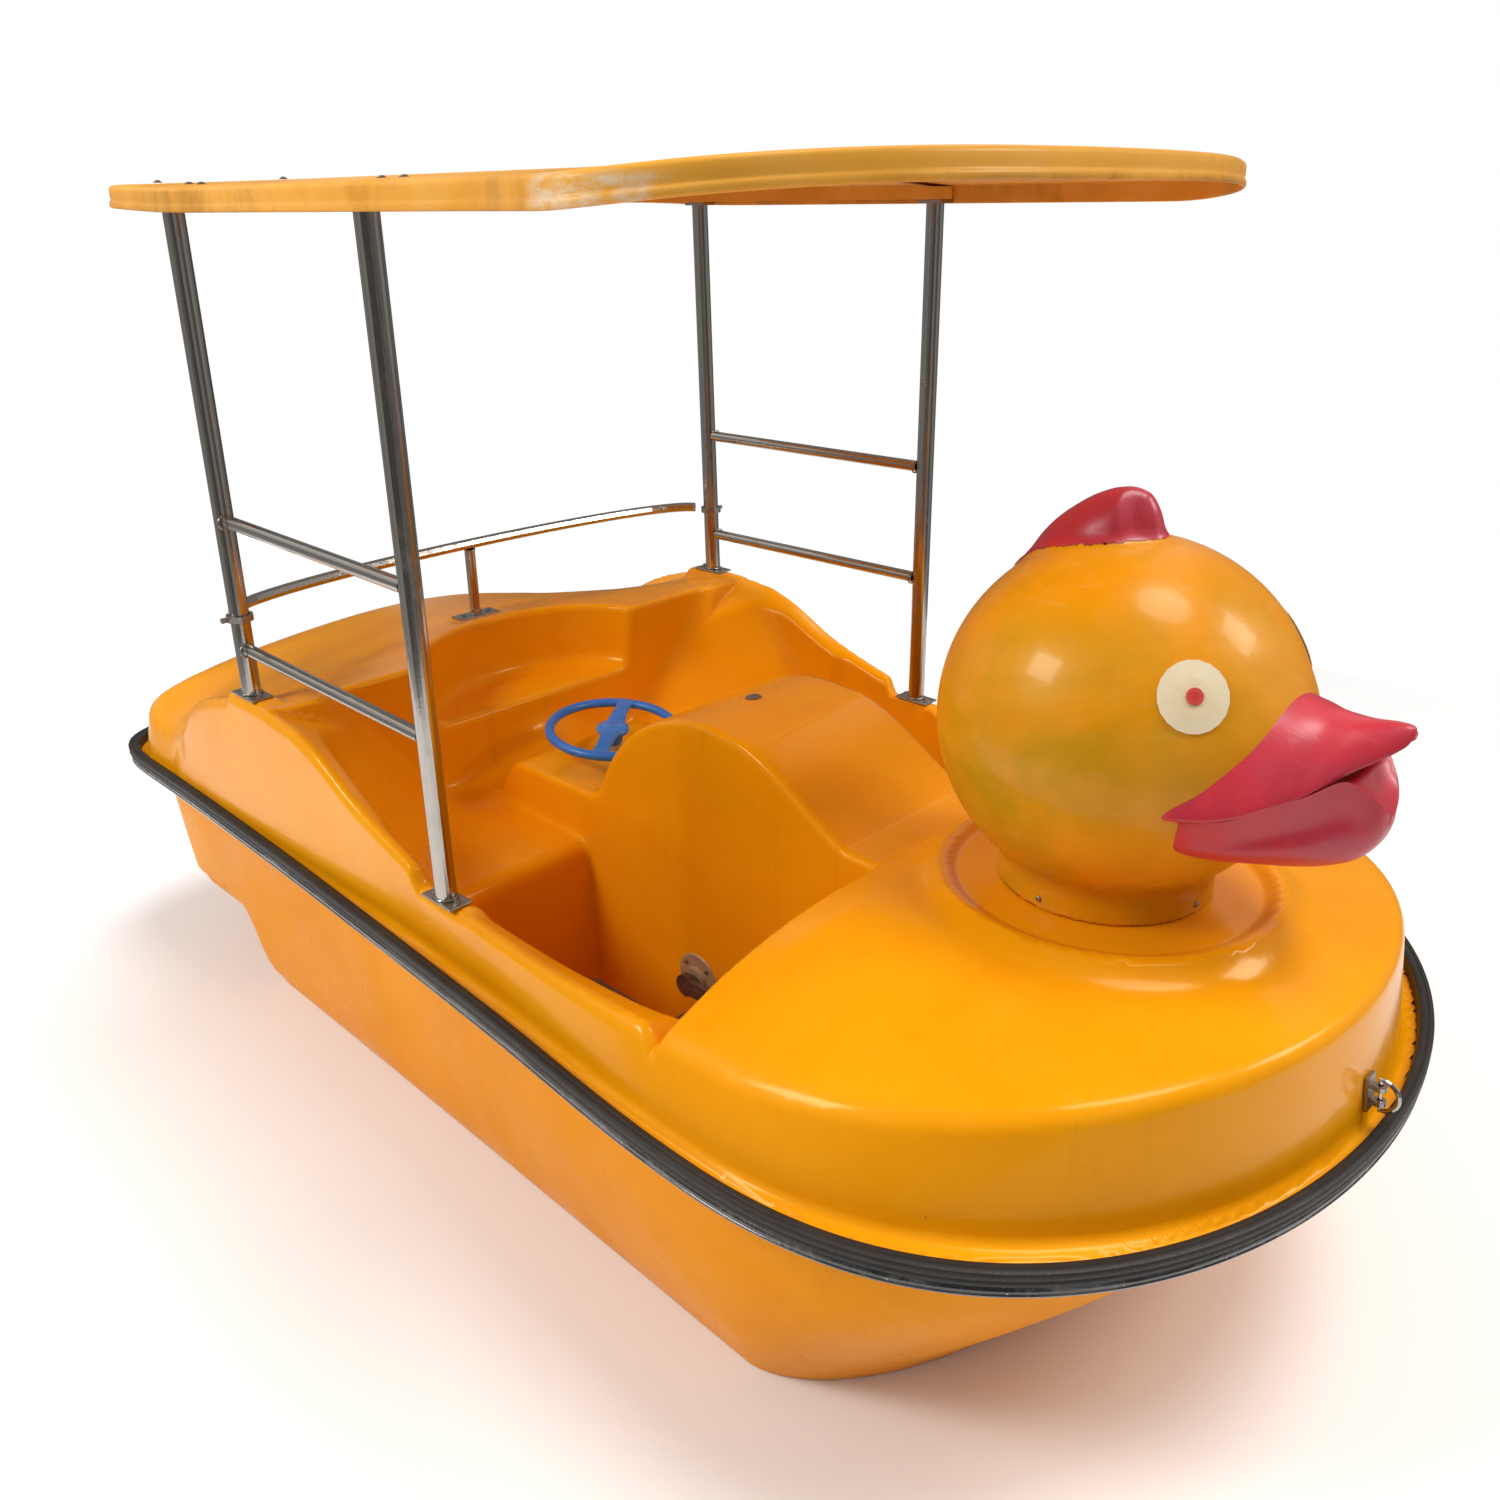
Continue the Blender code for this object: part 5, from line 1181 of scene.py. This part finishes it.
# ---- bolts and welds
def make_fittings():
    """Bolts on the base plates and bearing flanges, and weld beads at the tubes' ends."""
    bolts, welds = Small(), Small()
    for word, side in (("port", 1), ("starboard", -1)):
        for end in ("front", "rear"):
            low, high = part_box(f"post_base_{end}_{word}")
            mx, my = (low.x + high.x) / 2, (low.y + high.y) / 2
            for dx in (-0.033, 0.033):
                bolts.bolt((mx + dx, my, high.z), UPWARD, 0.0052)
            a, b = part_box(f"post_{end}_{word}")
            welds.bead(circle(0.0198, move=stand((mx, my, high.z + 0.0022), UPWARD)), 0.0021)
        for level in ("upper", "lower"):
            a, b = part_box(f"side_rail_{level}_{word}")
            my, mz = (a.y + b.y) / 2, (a.z + b.z) / 2
            for x, way in ((a.x, 1), (b.x, -1)):
                at = (x + way * 0.0012, my, mz)
                welds.bead(circle(0.0130, move=stand(at, (1, 0, 0))), 0.0016)
    low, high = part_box("back_rail_base")
    for y in (-0.036, 0.036):
        bolts.bolt(((low.x + high.x) / 2, y, high.z), UPWARD, 0.0050)
    a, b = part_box("back_rail_post")
    mx = (a.x + b.x) / 2
    welds.bead(circle(0.0131, move=stand((mx, 0, high.z + 0.0016), UPWARD)), 0.0016)
    welds.bead(circle(0.0128, move=stand((mx, 0, b.z - 0.0006), UPWARD)), 0.0014)
    for side in (1, -1):
        for i in range(4):
            a = math.radians(45 + 90 * i)
            at = (SHAFT[0] + 0.041 * math.cos(a), side * (0.185 + 0.0062),
                  SHAFT[1] + 0.041 * math.sin(a))
            bolts.bolt(at, (0, side, 0), 0.0045)
    bolts.done("base_bolts", STEEL_PLATE, "boat", "stainless")
    welds.done("tube_welds", STEEL_PLATE, "boat", "stainless")


make_fittings()


# ---- the studio
DOME_LEVELS = ((0.0, 0.95), (0.22, 0.60), (0.38, 0.34), (0.56, 0.34), (0.66, 0.70), (1.0, 1.15))
BAND_LEVELS = ((0.0, 0.70), (0.14, 0.95), (0.24, 0.22), (0.33, 0.24), (0.36, 0.85), (0.40, 0.26),
               (0.60, 0.24), (0.65, 0.85), (0.71, 0.83), (0.76, 0.26), (0.90, 0.30), (1.0, 0.95))


def sky_ramp(tree, value, levels, tint):
    """Grey levels along value, each a place from 0 to 1 and a brightness."""
    node = tree.nodes.new("ShaderNodeValToRGB")
    stops = node.color_ramp.elements
    stops[0].position = levels[0][0]
    stops[1].position = levels[-1][0]
    for at, _ in levels[1:-1]:
        stops.new(at)
    for stop, (_, grey) in zip(stops, levels):
        stop.color = (*(grey * t for t in tint), 1)
    tree.links.new(value, node.inputs[0])
    return node.outputs[0]


FLOOR_RADIUS = 3.4
FLOOR_DROP = 0.0015
ACROSS = (0.3575, 0.3495, 0.0)  # half of the camera's rightward direction
DOME_STRENGTH = 1.15


def make_stage():
    n = Nodes("floor_look")
    tone = n.ramp(n.noise(0.6, 3, 0.5), 0.3, 0.7)
    n.set(colour=n.blend(tone, (0.95, 0.95, 0.95), (0.93, 0.93, 0.93)), rough=0.85, specular=0.2)
    bm = bmesh.new()
    bmesh.ops.create_circle(bm, cap_ends=True, segments=96, radius=FLOOR_RADIUS)
    floor = from_bmesh("floor", bm, n.material)
    floor.location.z = -FLOOR_DROP
    world = bpy.data.worlds.new("studio")
    bpy.context.scene.world = world
    world.use_nodes = True
    tree = world.node_tree
    place = tree.nodes.new("ShaderNodeTexCoord")
    split = tree.nodes.new("ShaderNodeSeparateXYZ")
    tree.links.new(place.outputs["Generated"], split.inputs[0])
    half = tree.nodes.new("ShaderNodeMath")
    half.operation = "MULTIPLY_ADD"
    half.inputs[1].default_value = 0.5
    half.inputs[2].default_value = 0.5
    tree.links.new(split.outputs[2], half.inputs[0])
    across = tree.nodes.new("ShaderNodeVectorMath")
    across.operation = "DOT_PRODUCT"
    across.inputs[1].default_value = ACROSS
    tree.links.new(place.outputs["Generated"], across.inputs[0])
    shift = tree.nodes.new("ShaderNodeMath")
    shift.inputs[1].default_value = 0.5
    tree.links.new(across.outputs["Value"], shift.inputs[0])
    dome = sky_ramp(tree, half.outputs[0], DOME_LEVELS, (1, 1, 1.01))
    bands = sky_ramp(tree, shift.outputs[0], BAND_LEVELS, (1, 0.985, 0.96))
    both = tree.nodes.new("ShaderNodeMix")
    both.data_type = "RGBA"
    both.blend_type = "MULTIPLY"
    both.inputs[0].default_value = 1.0
    tree.links.new(dome, both.inputs[6])
    tree.links.new(bands, both.inputs[7])
    back = tree.nodes["Background"]
    tree.links.new(both.outputs[2], back.inputs["Color"])
    back.inputs["Strength"].default_value = DOME_STRENGTH
    seen = tree.nodes.new("ShaderNodeBackground")
    seen.inputs["Color"].default_value = (1.0, 1.0, 1.0, 1)
    route = tree.nodes.new("ShaderNodeLightPath")
    pick = tree.nodes.new("ShaderNodeMixShader")
    tree.links.new(route.outputs["Is Camera Ray"], pick.inputs[0])
    tree.links.new(back.outputs[0], pick.inputs[1])
    tree.links.new(seen.outputs[0], pick.inputs[2])
    tree.links.new(pick.outputs[0], tree.nodes["World Output"].inputs["Surface"])


def add_light(name, kind, aim, energy, colour=(1, 1, 1)):
    """A light that shines along aim."""
    data = bpy.data.lights.new(name, kind)
    data.energy = energy
    data.color = colour
    lamp = linked(name, data)
    lamp.rotation_euler = aim.to_track_quat("-Z", "Y").to_euler()
    return lamp


def area_light(name, at, aim, size, power, colour):
    lamp = add_light(name, "AREA", Vector(aim) - Vector(at), power, colour)
    lamp.data.shape = "RECTANGLE"
    lamp.data.size, lamp.data.size_y = size
    lamp.location = at


CAMERA_AT = (1.8645, -1.6992, 1.7642)
CAMERA_TURN = (math.radians(134.361), math.radians(22.493), -0.01097)  # yaw, pitch, roll
SENSOR = 36.0
FOCAL = 1288.41 / 1500  # as a share of the image's width
CENTRE = (758.46 / 1500, 735.44 / 1500)


def make_camera():
    yaw, pitch, roll = CAMERA_TURN
    ahead = Vector((math.cos(yaw) * math.cos(pitch), math.sin(yaw) * math.cos(pitch),
                    -math.sin(pitch)))
    right = Vector((math.sin(yaw), -math.cos(yaw), 0))
    up = right.cross(ahead)
    right2 = math.cos(roll) * right + math.sin(roll) * up
    up2 = -math.sin(roll) * right + math.cos(roll) * up
    data = bpy.data.cameras.new("camera")
    data.sensor_width = SENSOR
    data.lens = FOCAL * SENSOR
    data.shift_x = 0.5 - CENTRE[0]
    data.shift_y = CENTRE[1] - 0.5
    data.clip_end = 200
    camera = linked("camera", data)
    turn = Matrix((right2, up2, -ahead)).transposed()
    camera.matrix_world = Matrix.Translation(CAMERA_AT) @ turn.to_4x4()
    bpy.context.scene.camera = camera


make_stage()
add_light("sun", "SUN", Vector((-0.25, -0.25, -1.25)), 1.5).data.angle = math.radians(25)
area_light("key", (3.4, 2.2, 3.6), (0.4, 0.0, 0.5), (1.2, 1.2), 60, (1.0, 0.97, 0.92))
area_light("fill", (-1.2, -3.6, 3.8), (0.0, 0.1, 0.5), (1.6, 1.2), 110, (1.0, 0.98, 0.95))
make_camera()
bpy.context.scene.view_settings.view_transform = "Standard"
